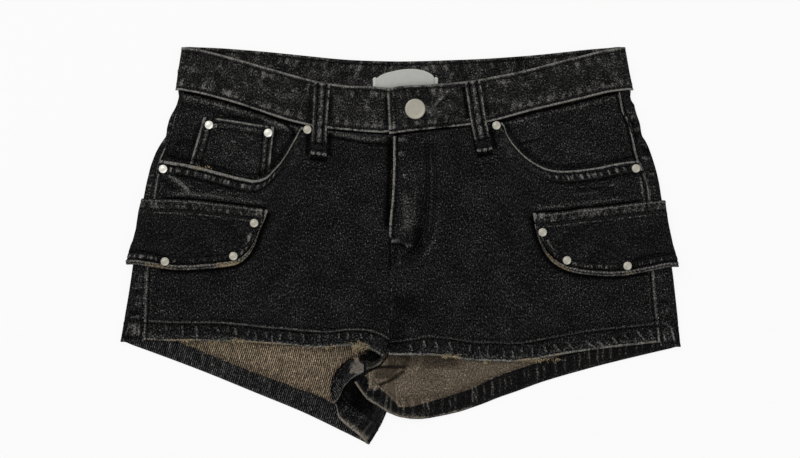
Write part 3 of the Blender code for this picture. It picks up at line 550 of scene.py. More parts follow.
def hem_thickness() -> Array:
    """Wall thickness down a panel: one layer, then the turned-up hem."""
    return np.array([CLOTH] * len(PANEL_ROWS) + [HEM_CLOTH] * 3)[:, None]


def edge_at(side: Sequence[Side], first_y: float, last_y: float, shift: float) -> list[Point]:
    """Outseam between two heights, moved across by `shift`."""
    heights, places = [row.y for row in side][::-1], [row.seam_x for row in side][::-1]
    return [Point(np.interp(level, heights, places) + shift, level)
            for level in np.linspace(first_y, last_y, SEAM_POINTS)]


def column(flat: Array, level: Any, share: Any = 1.0) -> Array:
    """Column of a grid: places on the table, level, and share of the full thickness."""
    rows = len(flat)
    return np.column_stack([flat, np.broadcast_to(level, rows), np.broadcast_to(share, rows)])


def along_section(row: Sequence[float] | Array, down: Array) -> Array:
    """Places down one straight section."""
    return np.outer(1 - down, row[:2]) + np.outer(down, row[2:4])


def half_turn(edge_x: Array, edge_y: Array, inward: float, from_level: Array, to_level: Array,
    lean: float = 0.0, drift: float = 0.0) -> Iterator[Array]:
    """Columns round a fold whose outer face reaches the edge, without its two ends.

    Args:
        edge_x: Edge of the fold at each row.
        edge_y: The same, along.
        inward: +1 or -1, across from the edge to the cloth.
        from_level: Level at which the fold starts.
        to_level: Level at which it ends.
        lean: Slant of the way round.
        drift: How far it moves along the fold.

    Yields:
        One column for each step.
    """
    radius = np.abs(from_level - to_level) / 2.0
    middle = (from_level + to_level) / 2.0
    sign = np.sign(from_level - to_level)
    for step in range(1, ARC_STEPS):
        angle = np.pi / 2.0 - np.pi * step / ARC_STEPS
        reach = radius * (1.0 - np.cos(angle))
        along = edge_y + lean * reach + drift * step / ARC_STEPS
        flat = np.column_stack([edge_x + inward * reach, along])
        yield column(flat, middle + sign * radius * np.sin(angle), PRESSED)


def fold_column(fold: Fold, rows: int, first_row: int, lift: float = 0.0,
                share: float = 1.0) -> Array:
    """Column of an inner thigh: still above the crotch, then down the fold to the hem.

    Args:
        fold: Line that the column follows.
        rows: Rows of the grid.
        first_row: Row at which the fold starts.
        lift: Added to the fold's level.
        share: Share of the cloth's thickness.

    Returns:
        The column.
    """
    three = [(fold.top_x, fold.top_y), (fold.mid_x, fold.mid_y), (fold.hem_x, fold.hem_y)]
    steps = np.clip((np.arange(rows) - first_row) / (len(PANEL_ROWS) - 1.0 - first_row), 0.0, 1.0)
    at = steps * HEM_START
    at[len(PANEL_ROWS):] = (HEM_START + 0.03, (HEM_START + 1.0) / 2.0, 1.0)
    return column(spline(three, at), fold.level + lift, share)


class Border(Enum):
    """Borders of a grid."""

    TOP = "first row"
    LOW = "last row"
    FIRST = "first column"
    LAST = "last column"


TOP, LOW, FIRST, LAST = Border
Seams = tuple[tuple[Border, float], ...]    # borders, and the distance of a row from each


@dataclass
class Grid:
    """Outer face of a cloth piece, as rows and columns of points, with its thickness."""

    points: Array
    thickness: Array
    present: Array
    height: Array = field(init=False)
    # Wear lightens the cloth; where this value is below nothing it is painted shade.
    wear_and_shade: Array = field(init=False)
    tan: Array = field(init=False)

    def __post_init__(self) -> None:
        """Start with no relief, no wear and no painted shade, and measure the cloth."""
        shape = self.points.shape[:2]
        self.height, self.wear_and_shade, self.tan = np.zeros(shape), np.zeros(shape), np.zeros(shape)
        self.across = self._lengths(1)
        self.down = self._lengths(0)
        self.normals = self._normals()

    @classmethod
    def of(cls, columns: Sequence[Array], thickness: Any, present: Array | None = None) -> "Grid":
        """Grid of columns that hold places, levels and shares of the thickness.

        Args:
            columns: The columns, all with the same number of rows.
            thickness: Thickness of the cloth, one number or one for each row.
            present: Cells that are cloth; all are where this is None.

        Returns:
            The grid.
        """
        grid = np.stack(columns, axis=1)
        if present is None:
            present = np.ones((grid.shape[0] - 1, grid.shape[1] - 1), bool)
        return cls(grid[..., :3], grid[..., 3] * thickness, present)

    def _lengths(self, axis: int) -> Array:
        """Length of cloth from the first row or column to each point."""
        steps = np.linalg.norm(np.diff(self.points, axis=axis), axis=2)
        start = np.zeros_like(steps[:1] if axis == 0 else steps[:, :1])
        return np.cumsum(np.concatenate([start, steps], axis=axis), axis=axis)

    def _normals(self) -> Array:
        """Outward normal at each point, with the first cell facing up."""
        p = self.points
        faces = np.cross(p[1:, 1:] - p[:-1, :-1], p[:-1, 1:] - p[1:, :-1])
        faces = faces * self.present[..., None]
        total = np.zeros_like(p)
        for rows in (slice(None, -1), slice(1, None)):
            for columns in (slice(None, -1), slice(1, None)):
                total[rows, columns] += faces
        row, place = np.argwhere(self.present)[0]
        self.turned = bool(faces[row, place, 2] < 0)
        if self.turned:
            total = -total
        return total / np.maximum(np.linalg.norm(total, axis=2), SMALL)[..., None]

    @staticmethod
    def _smooth(values: Array, at: Array) -> Array:
        """Smooth curve through the rows of `values`, at places counted in rows."""
        steps = np.diff(values, axis=0)
        chords = np.maximum(np.linalg.norm(steps, axis=2)[..., None], TINY)
        slopes = steps / chords
        tangents = np.empty_like(values)
        tangents[0], tangents[-1] = slopes[0], slopes[-1]
        tangents[1:-1] = (slopes[:-1] * chords[1:] + slopes[1:] * chords[:-1]) / (
            chords[1:] + chords[:-1])
        index = np.minimum(at.astype(int), len(values) - 2)
        return hermite((at - index)[:, None, None], values[index], tangents[index] * chords[index],
                       values[index + 1], tangents[index + 1] * chords[index])

    @staticmethod
    def _linear(values: Array, at: Array) -> Array:
        """Straight lines between the rows of `values`, at places counted in rows."""
        index = np.minimum(at.astype(int), len(values) - 2)
        t = (at - index)[:, None]
        return values[index] * (1 - t) + values[index + 1] * t

    @staticmethod
    def _places(lengths: Array, spacing: float) -> Array:
        """Places of fine rows between coarse ones, counted in coarse rows."""
        longest = lengths.max(axis=1)
        before = np.concatenate([[0.0], np.cumsum(longest)])
        at = [0.0]
        for index, length in enumerate(longest):
            inward = min(before[index], before[-1] - before[index + 1])
            step = spacing * (EDGE_SHARE if inward < EDGE_REACH else 1.0)
            count = max(1, math.ceil(length / step))
            at.extend(index + np.arange(1, count + 1) / count)
        for distance in ROLL_AT:
            at.append(min(distance / longest[0], CELL_SHARE))
            at.append(len(longest) - min(distance / longest[-1], CELL_SHARE))
        return np.unique(np.round(at, 6))

    def refined(self, spacing: float) -> "Grid":
        """The same sheet on a fine grid, with closer rows at its edges.

        Args:
            spacing: Distance between fine rows and columns.

        Returns:
            The fine grid.
        """
        rows = self._places(np.diff(self.down, axis=0), spacing)
        places = self._places(np.diff(self.across, axis=1).T, spacing)
        points = self._smooth(self.points, rows)
        points = self._smooth(points.transpose(1, 0, 2), places).transpose(1, 0, 2)
        thickness = self._linear(self._linear(self.thickness, rows).T, places).T
        row_cells = ((rows[:-1] + rows[1:]) / 2.0).astype(int)
        place_cells = ((places[:-1] + places[1:]) / 2.0).astype(int)
        return Grid(points, thickness, self.present[np.ix_(row_cells, place_cells)])

    def reach(self, border: Border) -> Array:
        """Length of cloth from each point to a border."""
        if border in (TOP, LOW):
            return self.down if border is TOP else self.down[-1:] - self.down
        return self.across if border is FIRST else self.across[:, -1:] - self.across

    def along(self, border: Border) -> Array:
        """Length along a border, at the point of it that faces each point."""
        if border in (TOP, LOW):
            line = self.across[:1] if border is TOP else self.across[-1:]
        else:
            line = self.down[:, :1] if border is FIRST else self.down[:, -1:]
        return np.broadcast_to(line, self.points.shape[:2])

    def outer_points(self) -> Array:
        """Points of the outer face with its relief, none of them below the table."""
        points = self.points + self.normals * self.height[..., None]
        points[..., 2] = np.maximum(points[..., 2], 0.0)
        return points

    def faces_up(self, side_up: bool) -> Array:
        """Which points lie on the side that faces up, or on the one that faces down."""
        return self.normals[..., 2] > FACING if side_up else self.normals[..., 2] < -FACING

    def trace(self, border: Border, distance: float, start: float = SEAM_START,
        end: float = ENDLESS, drift: Line = NO_DRIFT) -> Seam:
        """Line on the outer face at one distance from a border.

        Args:
            border: Border that the line follows.
            distance: Distance from it.
            start: Where the line starts, as a length along the border.
            end: Where it ends.
            drift: How much further in it runs, at lengths along the border.

        Returns:
            Points of the line, and the outward normals there.
        """
        surface, normals = self.outer_points(), self.normals
        reach, along, present = self.reach(border), self.along(border), self.present
        if border in (FIRST, LAST):
            surface, normals = surface.transpose(1, 0, 2), normals.transpose(1, 0, 2)
            reach, along, present = reach.T, along.T, present.T
        order = slice(None, None, 1 if border in (TOP, FIRST) else -1)
        rows = np.arange(len(reach))
        points, directions = [], []
        for place in range(reach.shape[1]):
            if not start <= along[0, place] <= end or reach[:, place].max() <= distance:
                continue
            goal = distance + np.interp(along[0, place], *zip(*drift))
            at = np.interp(goal, reach[order, place], rows[order])
            row = min(int(at), len(rows) - 2)
            if present[row, min(place, present.shape[1] - 1)]:
                part = at - row
                points.append(surface[row, place] * (1 - part) + surface[row + 1, place] * part)
                directions.append(normals[row, place])
        return np.array(points), np.array(directions)

    def drop(self, places: Array) -> Seam:
        """Put a line of places on the table on to the side of the cloth that faces up.

        Args:
            places: Places on the table, one row each.

        Returns:
            Points of the line, and the outward normals there.
        """
        surface, normals = self.outer_points().reshape(-1, 3), self.normals.reshape(-1, 3)
        facing = np.flatnonzero(normals[:, 2] > 0.5)
        tree = KDTree(len(facing))
        for index in facing:
            tree.insert((surface[index, 0], surface[index, 1], 0.0), int(index))
        tree.balance()
        points, directions = [], []
        for x, y in places:
            near = tree.find_n((x, y, 0.0), 4)
            chosen = [found[1] for found in near]
            weights = np.array([1.0 / (0.05 + found[2]) for found in near])
            points.append((x, y, float(np.average(surface[chosen, 2], weights=weights))))
            directions.append(normals[chosen[0]])
        return np.array(points), np.array(directions)

    def area(self) -> float:
        """Area of the outer face in square metres."""
        p = self.points
        cells = np.cross(p[1:, 1:] - p[:-1, :-1], p[:-1, 1:] - p[1:, :-1])
        return float((np.linalg.norm(cells, axis=2) / 2.0 * self.present).sum()) * MM * MM


class Face(Enum):
    """Material slots of a cloth mesh."""

    OUTER = 0
    INNER = 1


@dataclass(frozen=True)
class Shell:
    """Turns a grid into a closed thin mesh with rounded edges.

    `bulge` is how far its edges round out, and `turned_up` the depth of the hem whose outer
    face shows inside. `hem_line` gives that hem's upper edge where the cloth is folded, and
    `hem_spots` round places, with their radii, where the hem's outer face has rolled into view.
    """

    bulge: float = 0.25
    turned_up: float = 0.0
    hem_line: Line = ()
    hem_spots: tuple[Three, ...] = ()

    def mesh(self, name: str, grid: Grid) -> Mesh:
        """Mesh of the piece, in metres, with its cloth and finish attributes.

        Args:
            name: Name of the mesh.
            grid: The piece.

        Returns:
            The mesh.
        """
        rows, columns = grid.points.shape[:2]
        row, place = np.nonzero(grid.present)
        cells = np.stack([row * columns + place, (row + 1) * columns + place,
                          (row + 1) * columns + place + 1, row * columns + place + 1], axis=1)
        if grid.turned:
            cells = cells[:, ::-1]
        used, cells = np.unique(cells, return_inverse=True)
        cells = cells.reshape(-1, 4)
        count = len(used)
        order = np.full(rows * columns, -1)
        order[used] = np.arange(count)
        outer = grid.outer_points().reshape(-1, 3)[used]
        normals = grid.normals.reshape(-1, 3)[used]
        thick = grid.thickness.reshape(-1)[used][:, None]
        inner = outer - normals * thick
        edges = self._open_edges(cells)
        rim, rim_faces, sources = self._rim(edges, outer, normals, thick, count)
        points = np.vstack([outer, inner, rim])
        front = self._faces(grid, order, -grid.normals[..., 2])
        back = [[vertex + count for vertex in reversed(face)]
                for face in self._faces(grid, order, grid.normals[..., 2])]
        faces = front + back + rim_faces.tolist()
        kept = np.unique(np.concatenate([np.array(face) for face in faces]))
        place_of = np.full(len(points), -1)
        place_of[kept] = np.arange(len(kept))
        lookup = place_of.tolist()
        mesh = bpy.data.meshes.new(name)
        mesh.from_pydata((points[kept] * MM).tolist(), [],
                         [[lookup[vertex] for vertex in face] for face in faces])
        mesh.polygons.foreach_set("use_smooth", np.ones(len(faces), bool))
        kinds = np.zeros(len(faces), np.int32)
        kinds[len(front):len(front) + len(back)] = Face.INNER.value
        mesh.polygons.foreach_set("material_index", kinds)
        self._attributes(mesh, grid, used, sources, kept)
        mesh.update()
        return mesh

    @staticmethod
    def _faces(grid: Grid, order: Array, hidden: Array) -> list[list[int]]:
        """Faces of one side of the sheet, four cells joined in one where it faces down.

        Args:
            grid: The piece.
            order: Vertex of each grid point, row after row.
            hidden: How far each point of this side faces down, from -1 to 1.

        Returns:
            The vertices of each face.
        """
        rows, columns = grid.points.shape[:2]
        vertex = order.reshape(rows, columns)
        down = hidden > FACES_DOWN
        low = down[:-1, :-1] & down[1:, :-1] & down[:-1, 1:] & down[1:, 1:] & grid.present
        tall, wide = (rows - 1) // 2, (columns - 1) // 2
        joined = np.zeros((tall + 2, wide + 2), bool)
        blocks = low[:2 * tall, :2 * wide].reshape(tall, 2, wide, 2)
        joined[1:-1, 1:-1] = blocks.all(axis=(1, 3))
        single = grid.present.copy()
        single[:2 * tall, :2 * wide] &= ~joined[1:-1, 1:-1].repeat(2, 0).repeat(2, 1)
        r, c = np.nonzero(single)
        faces = np.stack([vertex[r, c], vertex[r + 1, c], vertex[r + 1, c + 1], vertex[r, c + 1]],
                         axis=1).tolist()
        ring = ((0, 0), (1, 0), (2, 0), (2, 1), (2, 2), (1, 2), (0, 2), (0, 1))
        beside = {1: (0, -1), 3: (1, 0), 5: (0, 1), 7: (-1, 0)}
        for i, j in np.argwhere(joined[1:-1, 1:-1]).tolist():
            face = []
            for step, (row, place) in enumerate(ring):
                move = beside.get(step)
                if move is None or not joined[i + 1 + move[0], j + 1 + move[1]]:
                    face.append(int(vertex[2 * i + row, 2 * j + place]))
            faces.append(face)
        return [face[::-1] for face in faces] if grid.turned else faces

    def _above_hem(self, grid: Grid) -> Array:
        """Distance of each point above the turned-up hem, below 0 within it."""
        if self.turned_up <= 0.0:
            return np.full(grid.points.shape[:2], NO_HEM)
        above = grid.reach(LOW) - self.turned_up
        if self.hem_line:
            line = np.array(self.hem_line)
            x, y = grid.points[..., 0], grid.points[..., 1]
            on_line = (x > line[0, 0]) & (x < line[-1, 0]) & (grid.normals[..., 2] < -0.5)
            above = np.where(on_line, 0.8 * (y - np.interp(x, line[:, 0], line[:, 1])), above)
        for spot_x, spot_y, radius in self.hem_spots:
            gap = np.hypot(grid.points[..., 0] - spot_x, grid.points[..., 1] - spot_y) - radius
            above = np.where(grid.faces_up(False), np.minimum(above, gap), above)
        return above

    @staticmethod
    def _open_edges(cells: Array) -> Array:
        """Directed edges that only one cell has."""
        edges = np.concatenate([np.stack([cells[:, k], cells[:, (k + 1) % 4]], axis=1)
                                for k in range(4)])
        size = int(cells.max()) + 1
        keys = edges[:, 0].astype(np.int64) * size + edges[:, 1]
        backward = edges[:, 1].astype(np.int64) * size + edges[:, 0]
        return edges[~np.isin(keys, backward)]

    def _rim(self, edges: Array, outer: Array, normals: Array, thick: Array, count: int) -> tuple[
        Array, Array, Array]:
        """Rounded edge between the outer and inner faces.

        Args:
            edges: Open edges of the outer face.
            outer: Points of the outer face.
            normals: Its normals.
            thick: Thickness at each point.
            count: Number of points of the outer face.

        Returns:
            Points of the rim, its faces, and the outer point each rim point belongs to.
        """
        ways = outer[edges[:, 1]] - outer[edges[:, 0]]
        out = np.cross(ways, normals[edges[:, 0]])
        total = np.zeros_like(outer)
        np.add.at(total, edges[:, 0], out)
        np.add.at(total, edges[:, 1], out)
        border = np.unique(edges)
        total = total[border] / np.maximum(np.linalg.norm(total[border], axis=1), SMALL)[:, None]
        half = thick[border] / 2.0
        middle = outer[border] - normals[border] * half
        rings = [middle + normals[border] * half * math.cos(angle)
                 + total * self.bulge * math.sin(angle) for angle in RIM_ANGLES]
        order = np.full(count, -1)
        order[border] = np.arange(len(border))
        levels = [lambda i: i]
        for ring in range(len(RIM_ANGLES)):
            levels.append(lambda i, ring=ring: 2 * count + ring * len(border) + order[i])
        levels.append(lambda i: i + count)
        a, b = edges[:, 0], edges[:, 1]
        faces = [np.stack([levels[k](b), levels[k](a), levels[k + 1](a), levels[k + 1](b)], axis=1)
                 for k in range(len(levels) - 1)]
        sources = np.tile(border, len(RIM_ANGLES))
        return np.vstack(rings), np.vstack(faces), sources

    def _attributes(self, mesh: Mesh, grid: Grid, used: Array, sources: Array,
                    kept: Array) -> None:
        """Write where each point lies in the cloth, and its wear and painted shade, on to the
        mesh.
        """
        cloth = np.stack([grid.across, grid.down, np.zeros_like(grid.down)], axis=2)
        # The finish attribute holds wear and painted shade, tan, and the height above the hem.
        finish = np.stack([grid.wear_and_shade, grid.tan, self._above_hem(grid)], axis=2)
        for name, values in (("cloth", cloth), ("finish", finish)):
            values = values.reshape(-1, 3)[used]
            values = np.vstack([values, values, values[sources]])[kept]
            layer = mesh.attributes.new(name, "FLOAT_VECTOR", "POINT")
            layer.data.foreach_set("vector", values.astype(np.float32).reshape(-1))


# ---- relief and wear


def ridges(along: Array, seed: int, pitch: float, width: float) -> Array:
    """Uneven row of ridges across a stitched band.

    Args:
        along: Place of each point along the band.
        seed: Seed of the ridges' places and heights.
        pitch: Mean distance between ridges.
        width: Mean half width of a ridge.

    Returns:
        Height at each point, from 0 to 1.
    """
    random = np.random.default_rng(seed)
    height = np.zeros(along.shape)
    centre = float(along.min()) - pitch
    while centre < along.max() + pitch:
        centre += pitch * random.uniform(0.5, 1.5)
        tall, wide = random.uniform(0.45, 1.0), width * random.uniform(0.65, 1.35)
        height = np.maximum(height, tall * bell(along - centre, wide))
    return height


def clouds(x: Array, y: Array, size: float, seed: int) -> Array:
    """Smooth random field from -1 to 1.

    Args:
        x: Places across.
        y: Places along.
        size: Distance over which the field changes.
        seed: Seed of the field.

    Returns:
        Value at each place.
    """
    random = np.random.default_rng(seed)
    lattice = random.uniform(-1.0, 1.0, (LATTICE, LATTICE))
    across, along = x / size + FIELD_START, y / size + FIELD_START
    i, j = np.floor(across).astype(int), np.floor(along).astype(int)
    u, v = across - i, along - j
    u, v = u * u * (3 - 2 * u), v * v * (3 - 2 * v)
    left, right, low, high = (at % LATTICE for at in (i, i + 1, j, j + 1))
    a, b, c, d = lattice[low, left], lattice[low, right], lattice[high, left], lattice[high, right]
    return (a * (1 - u) + b * u) * (1 - v) + (c * (1 - u) + d * u) * v


def varied(mean_and_spread: tuple[float, float], uneven: Array) -> Array:
    """A share that varies with a random field."""
    return mean_and_spread[0] + mean_and_spread[1] * uneven


@dataclass(frozen=True)
class Trace:
    """Ridge or groove at one distance from an edge; its wear lightens, and below nothing it paints
    shade in the groove.
    """

    distance: float
    height: float
    wear_and_shade: float
    width: float = 0.7


@dataclass(frozen=True)
class Edging:
    """How a piece is rolled, puckered and worn along one of its borders, with painted shade where
    its wear is below nothing.
    """

    border: Border
    start: float = -1.0
    end: float = ENDLESS
    wear_and_shade: float = 0.8
    roll: float = 1.2
    roll_height: float = 0.15
    tan: float = 0.0
    band: float = 0.0
    pucker: float = 0.25
    pucker_wear_and_shade: float = 0.45
    pitch: float = 5.0
    width: float = 1.3
    slant: float = 0.25
    gap: float = 0.0
    sharp: float = 0.4
    drift: Line = NO_DRIFT
    traces: tuple[Trace, ...] = ()
    seed: int = 1

    def press(self, grid: Grid) -> None:
        """Add the edge's relief, wear and painted shade to the grid."""
        reach, along = grid.reach(self.border), grid.along(self.border)
        inside = soft(self.start - along, 2.0) * soft(along - self.end, 2.0)
        uneven = clouds(along, reach, EDGE_PATCH, self.seed + 7)
        edge = soft(reach - self.roll * varied(ROLL_VARIES, uneven), self.sharp)
        grid.height += inside * self.roll_height * edge
        grid.wear_and_shade += inside * self.wear_and_shade * varied(WEAR_AND_SHADE_VARIES, uneven) * edge
        patches = clouds(along, reach, TAN_PATCH, self.seed + 3) * TAN_CONTRAST
        grid.tan += inside * self.tan * edge * varied(TAN_VARIES, np.clip(patches, 0.0, 1.0))
        if self.band > 0.0:
            first = self.roll + self.gap
            share = np.clip((reach - first) / (self.band - first), 0.0, 1.0)
            window = np.sin(np.pi * share) ** PUCKER_FADE * inside
            puckers = ridges(along + self.slant * reach, self.seed, self.pitch, self.width)
            grid.height += window * self.pucker * (puckers - PUCKER_LEVEL)
            # Worn ridges, and painted shade in the troughs between them.
            grid.wear_and_shade += window * self.pucker_wear_and_shade * (puckers - PUCKER_SHADE_LEVEL)
        drift = np.interp(along, *zip(*self.drift))
        for number, trace in enumerate(self.traces):
            line = bell(reach - trace.distance - drift, trace.width) * inside
            broken = varied(TRACE_VARIES,
                            clouds(along, reach, TRACE_PATCH, self.seed + 20 + number))
            grid.height += trace.height * line
            grid.wear_and_shade += trace.wear_and_shade * line * broken


@dataclass(frozen=True)
class Crease:
    """Soft ridges or troughs along lines on the table, on the side that faces up or down, with
    wear or painted shade.
    """

    lines: tuple[Line, ...]
    width: float
    height: float
    wear_and_shade: float = 0.0
    taper: float = 0.3
    tan: float = 0.0
    faces_up: bool = True

    def press(self, grid: Grid) -> None:
        """Add the creases to the grid."""
        facing = grid.faces_up(self.faces_up)
        for places in self.lines:
            at = np.linspace(0.0, 1.0, CREASE_STEPS * len(places))
            self._one(grid, facing, spline(places, at))

    def _one(self, grid: Grid, facing: Array, line: Array) -> None:
        """Add one crease along a fine line."""
        x, y = grid.points[..., 0], grid.points[..., 1]
        (low_x, low_y), (high_x, high_y) = line.min(axis=0), line.max(axis=0)
        reach = 3.0 * self.width
        near = (facing & (x > low_x - reach) & (x < high_x + reach)
                & (y > low_y - reach) & (y < high_y + reach))
        if not near.any():
            return
        starts, ways = line[:-1], np.diff(line, axis=0)
        lengths = np.maximum((ways ** 2).sum(axis=1), SMALL)
        offsets = np.stack([x[near], y[near]], axis=1)[:, None] - starts[None]
        share = np.clip((offsets * ways[None]).sum(axis=2) / lengths, 0.0, 1.0)
        distance = np.linalg.norm(offsets - share[..., None] * ways[None], axis=2)
        nearest = distance.argmin(axis=1)
        order = np.arange(len(offsets))
        along = (nearest + share[order, nearest]) / len(starts)
        ends = soft(self.taper - np.minimum(along, 1.0 - along), self.taper) if self.taper else 1.0
        profile = bell(distance[order, nearest], self.width) * ends
        grid.height[near] += self.height * profile
        grid.wear_and_shade[near] += self.wear_and_shade * profile
        grid.tan[near] += self.tan * profile


@dataclass(frozen=True)
class Mottle:
    """Uneven wear and gentle waves all over a piece."""

    wear_and_shade: float
    size: float
    height: float
    wave: float
    seed: int
    raise_by: float = 0.0

    def press(self, grid: Grid) -> None:
        """Add the waves and the wear to the grid."""
        x, y, seed = grid.across, grid.down, self.seed
        grid.height += self.height * (
            clouds(x, y, self.wave, seed) + 0.5 * clouds(x, y, self.wave / SECOND_WAVE, seed + 1))
        grid.wear_and_shade += self.raise_by + self.wear_and_shade * (
            clouds(x, y, self.size, seed + 2) + 0.6 * clouds(x, y, self.size / 2.0, seed + 3))


@dataclass(frozen=True)
class Sway:
    """Moves an outer edge of the garment a little in and out, and the cloth beside it less.

    `edge` holds places along the edge: how far along, how far across, and the move outward.
    `axis` is 0 for a side edge and 1 for a hem.
    """

    edge: tuple[Three, ...]
    reach: float
    axis: int = 0

    def press(self, grid: Grid) -> None:
        """Move the grid's points."""
        along, across, move = (np.array(values) for values in zip(*sorted(self.edge)))
        own = grid.points[..., 1 - self.axis]
        gap = np.abs(grid.points[..., self.axis] - np.interp(own, along, across))
        inside = (own > along[0] - 2.0) & (own < along[-1] + 2.0)
        grid.points[..., self.axis] += np.interp(own, along, move) * soft(gap, self.reach) * inside


@dataclass(frozen=True)
class Dabs:
    """Worn spots, or dark ones that are mostly painted shade, with soft edges, each given by its
    middle and half sizes.
    """

    spots: tuple[tuple[float, float, float, float], ...]
    wear_and_shade: float = 0.45
    height: float = 0.1
    fade: float = 1.6
    tan: float = 0.0
    faces_up: bool = True

    def press(self, grid: Grid) -> None:
        """Add the spots to the grid."""
        x, y = grid.points[..., 0], grid.points[..., 1]
        facing = grid.faces_up(self.faces_up)
        uneven = varied(SPOT_VARIES, clouds(x, y, SPOT_PATCH, SPOT_SEED))
        for middle_x, middle_y, half_x, half_y in self.spots:
            across = soft(np.abs(x - middle_x) - half_x, self.fade)
            along = soft(np.abs(y - middle_y) - half_y, self.fade)
            spot = across * along * facing * uneven
            grid.wear_and_shade += self.wear_and_shade * spot
            grid.height += self.height * spot
            grid.tan += self.tan * spot


@dataclass(frozen=True)
class Pleats:
    """Short pinched pleats across a hem: where each starts, its length and its lean."""

    places: tuple[tuple[float, float, float, float], ...]
    width: float = 0.95
    height: float = 0.4
    wear_and_shade: float = 0.55

    def press(self, grid: Grid) -> None:
        """Add the pleats to the grid, each with a shaded side."""
        for x, y, length, lean in self.places:
            line = ((x, y), (x + lean, y - length))
            beside = tuple((place[0] + PLEAT_SHADE, place[1]) for place in line)
            Crease((line,), self.width, self.height, self.wear_and_shade).press(grid)
            Crease((beside,), self.width, -0.2, -0.3).press(grid)


Dressing = Edging | Crease | Mottle | Sway | Dabs | Pleats
Dressings = tuple[Dressing, ...]


# ---- uneven run of the outer edges
RIGHT_SWAY = Sway((
    (126, -182.4, 0), (121.4, -183.4, 1.8), (118.1, -184.2, 1.9), (114.8, -185.1, 1.8),
    (111.5, -186, 1.3), (108.2, -187, 0.3), (105, -188.1, -0.3), (101.7, -189.2, -0.5),
    (95.1, -191.6, 0.2), (91.8, -192.9, 1.2), (88.6, -194.1, 1.9), (85.3, -195.5, 0.9),
    (82, -196.9, 0), (78.7, -198.3, -0.4), (75.4, -199.7, -0.8), (68.9, -202.5, -0.5),
    (62.3, -204.9, -0.3), (55.8, -206.8, 0)), 7)
LEFT_SWAY = Sway((
    (126, 189.2, 0), (121.4, 189.7, -1.3), (118.1, 190.3, -1.1), (114.8, 190.9, 0.6),
    (111.5, 191.7, 0.5), (105, 193.3, 0.8), (101.7, 194.4, 1.1), (98.4, 195.5, 0.9),
    (91.8, 197.9, -0.5), (88.6, 199, -0.7), (85.3, 200.2, 0.4), (82, 201.5, 0.8),
    (78.7, 202.8, 0.9), (72.2, 205.5, 0.6), (65.6, 207.9, 0.2), (59, 209.8, 0.1)), 7)
RIGHT_HEM_SWAY = Sway(
    ((-230, -79, -0.7), (-200, -88.7, -0.8), (-160, -103.7, -0.8), (-120, -119.9, -0.8),
        (-80, -136.5, -0.7), (-49, -151.4, -0.8), (-36, -158, -0.6), (-29.5, -161.5, -0.4),
        (-23, -157.5, -2), (-16.4, -146.3, -2.2), (-10, -138, 0)), 9, 1)
LEFT_HEM_SWAY = Sway(
    ((-6, -139.5, 0.2), (3.3, -142, 0.1), (9.8, -141.3, -1.5), (16.4, -140.5, -2.3),
        (23, -140.3, -2), (29.5, -139.8, -1.4), (36.1, -138.8, -1), (42.6, -137.6, -0.6),
        (55.8, -134.3, -0.3), (68.9, -129.1, -0.7), (95.1, -119.3, -0.9), (114.8, -112.7, -0.3),
        (147.6, -102.7, -0.6), (180.4, -93.9, -0.7), (230, -83.2, -0.8)), 9, 1)
RIGHT_FLAP_SWAY = Sway(
    ((37.5, -213.2, 0.8), (29.5, -214.7, 0.4), (19.7, -216.9, 0.9), (13.1, -218.4, 1.4),
        (3.3, -220.5, 1), (0, -221.2, 0.2), (-6.6, -222.6, -0.4), (-13.1, -224.3, -0.5)), 8)
LEFT_FLAP_SWAY = Sway(
    ((36, 216.8, 0.5), (29.5, 217.8, 0), (19.7, 220, -0.7), (9.8, 222, -0.7), (0, 224, -0.6),
        (-9.8, 226.1, 0.3), (-13.1, 226.9, 0.4)), 8)


# ---- finishes


class Nodes:
    """Short ways to add nodes to a tree."""

    def __init__(self, tree: bpy.types.NodeTree) -> None:
        """Take the tree."""
        self.tree = tree

    def add(self, kind: str, inputs: dict[int | str, Any] | None = None,
            **settings: Any) -> bpy.types.Node:
        """Add a node.

        Args:
            kind: Type of the node, without its first word.
            inputs: Its inputs; a value that is a socket is linked.
            **settings: Its properties.

        Returns:
            The node.
        """
        node = self.tree.nodes.new("ShaderNode" + kind)
        for name, value in settings.items():
            setattr(node, name, value)
        for name, value in (inputs or {}).items():
            self.feed(node.inputs[name], value)
        return node

    def feed(self, socket: Socket, value: Any) -> None:
        """Link a socket, or set its value."""
        if isinstance(value, Socket):
            self.tree.links.new(value, socket)
        else:
            socket.default_value = value

    def math(self, operation: str, first: Any, second: Any = 0.0, third: Any = 0.0) -> Socket:
        """Result of a Math node."""
        return self.add("Math", {0: first, 1: second, 2: third}, operation=operation).outputs[0]

    def more(self, value: Any, weight: Any, base: Any) -> Socket:
        """A value times a weight, and a base."""
        return self.math("MULTIPLY_ADD", value, weight, base)

    def times(self, first: Any, second: Any) -> Socket:
        """Product of two values."""
        return self.math("MULTIPLY", first, second)


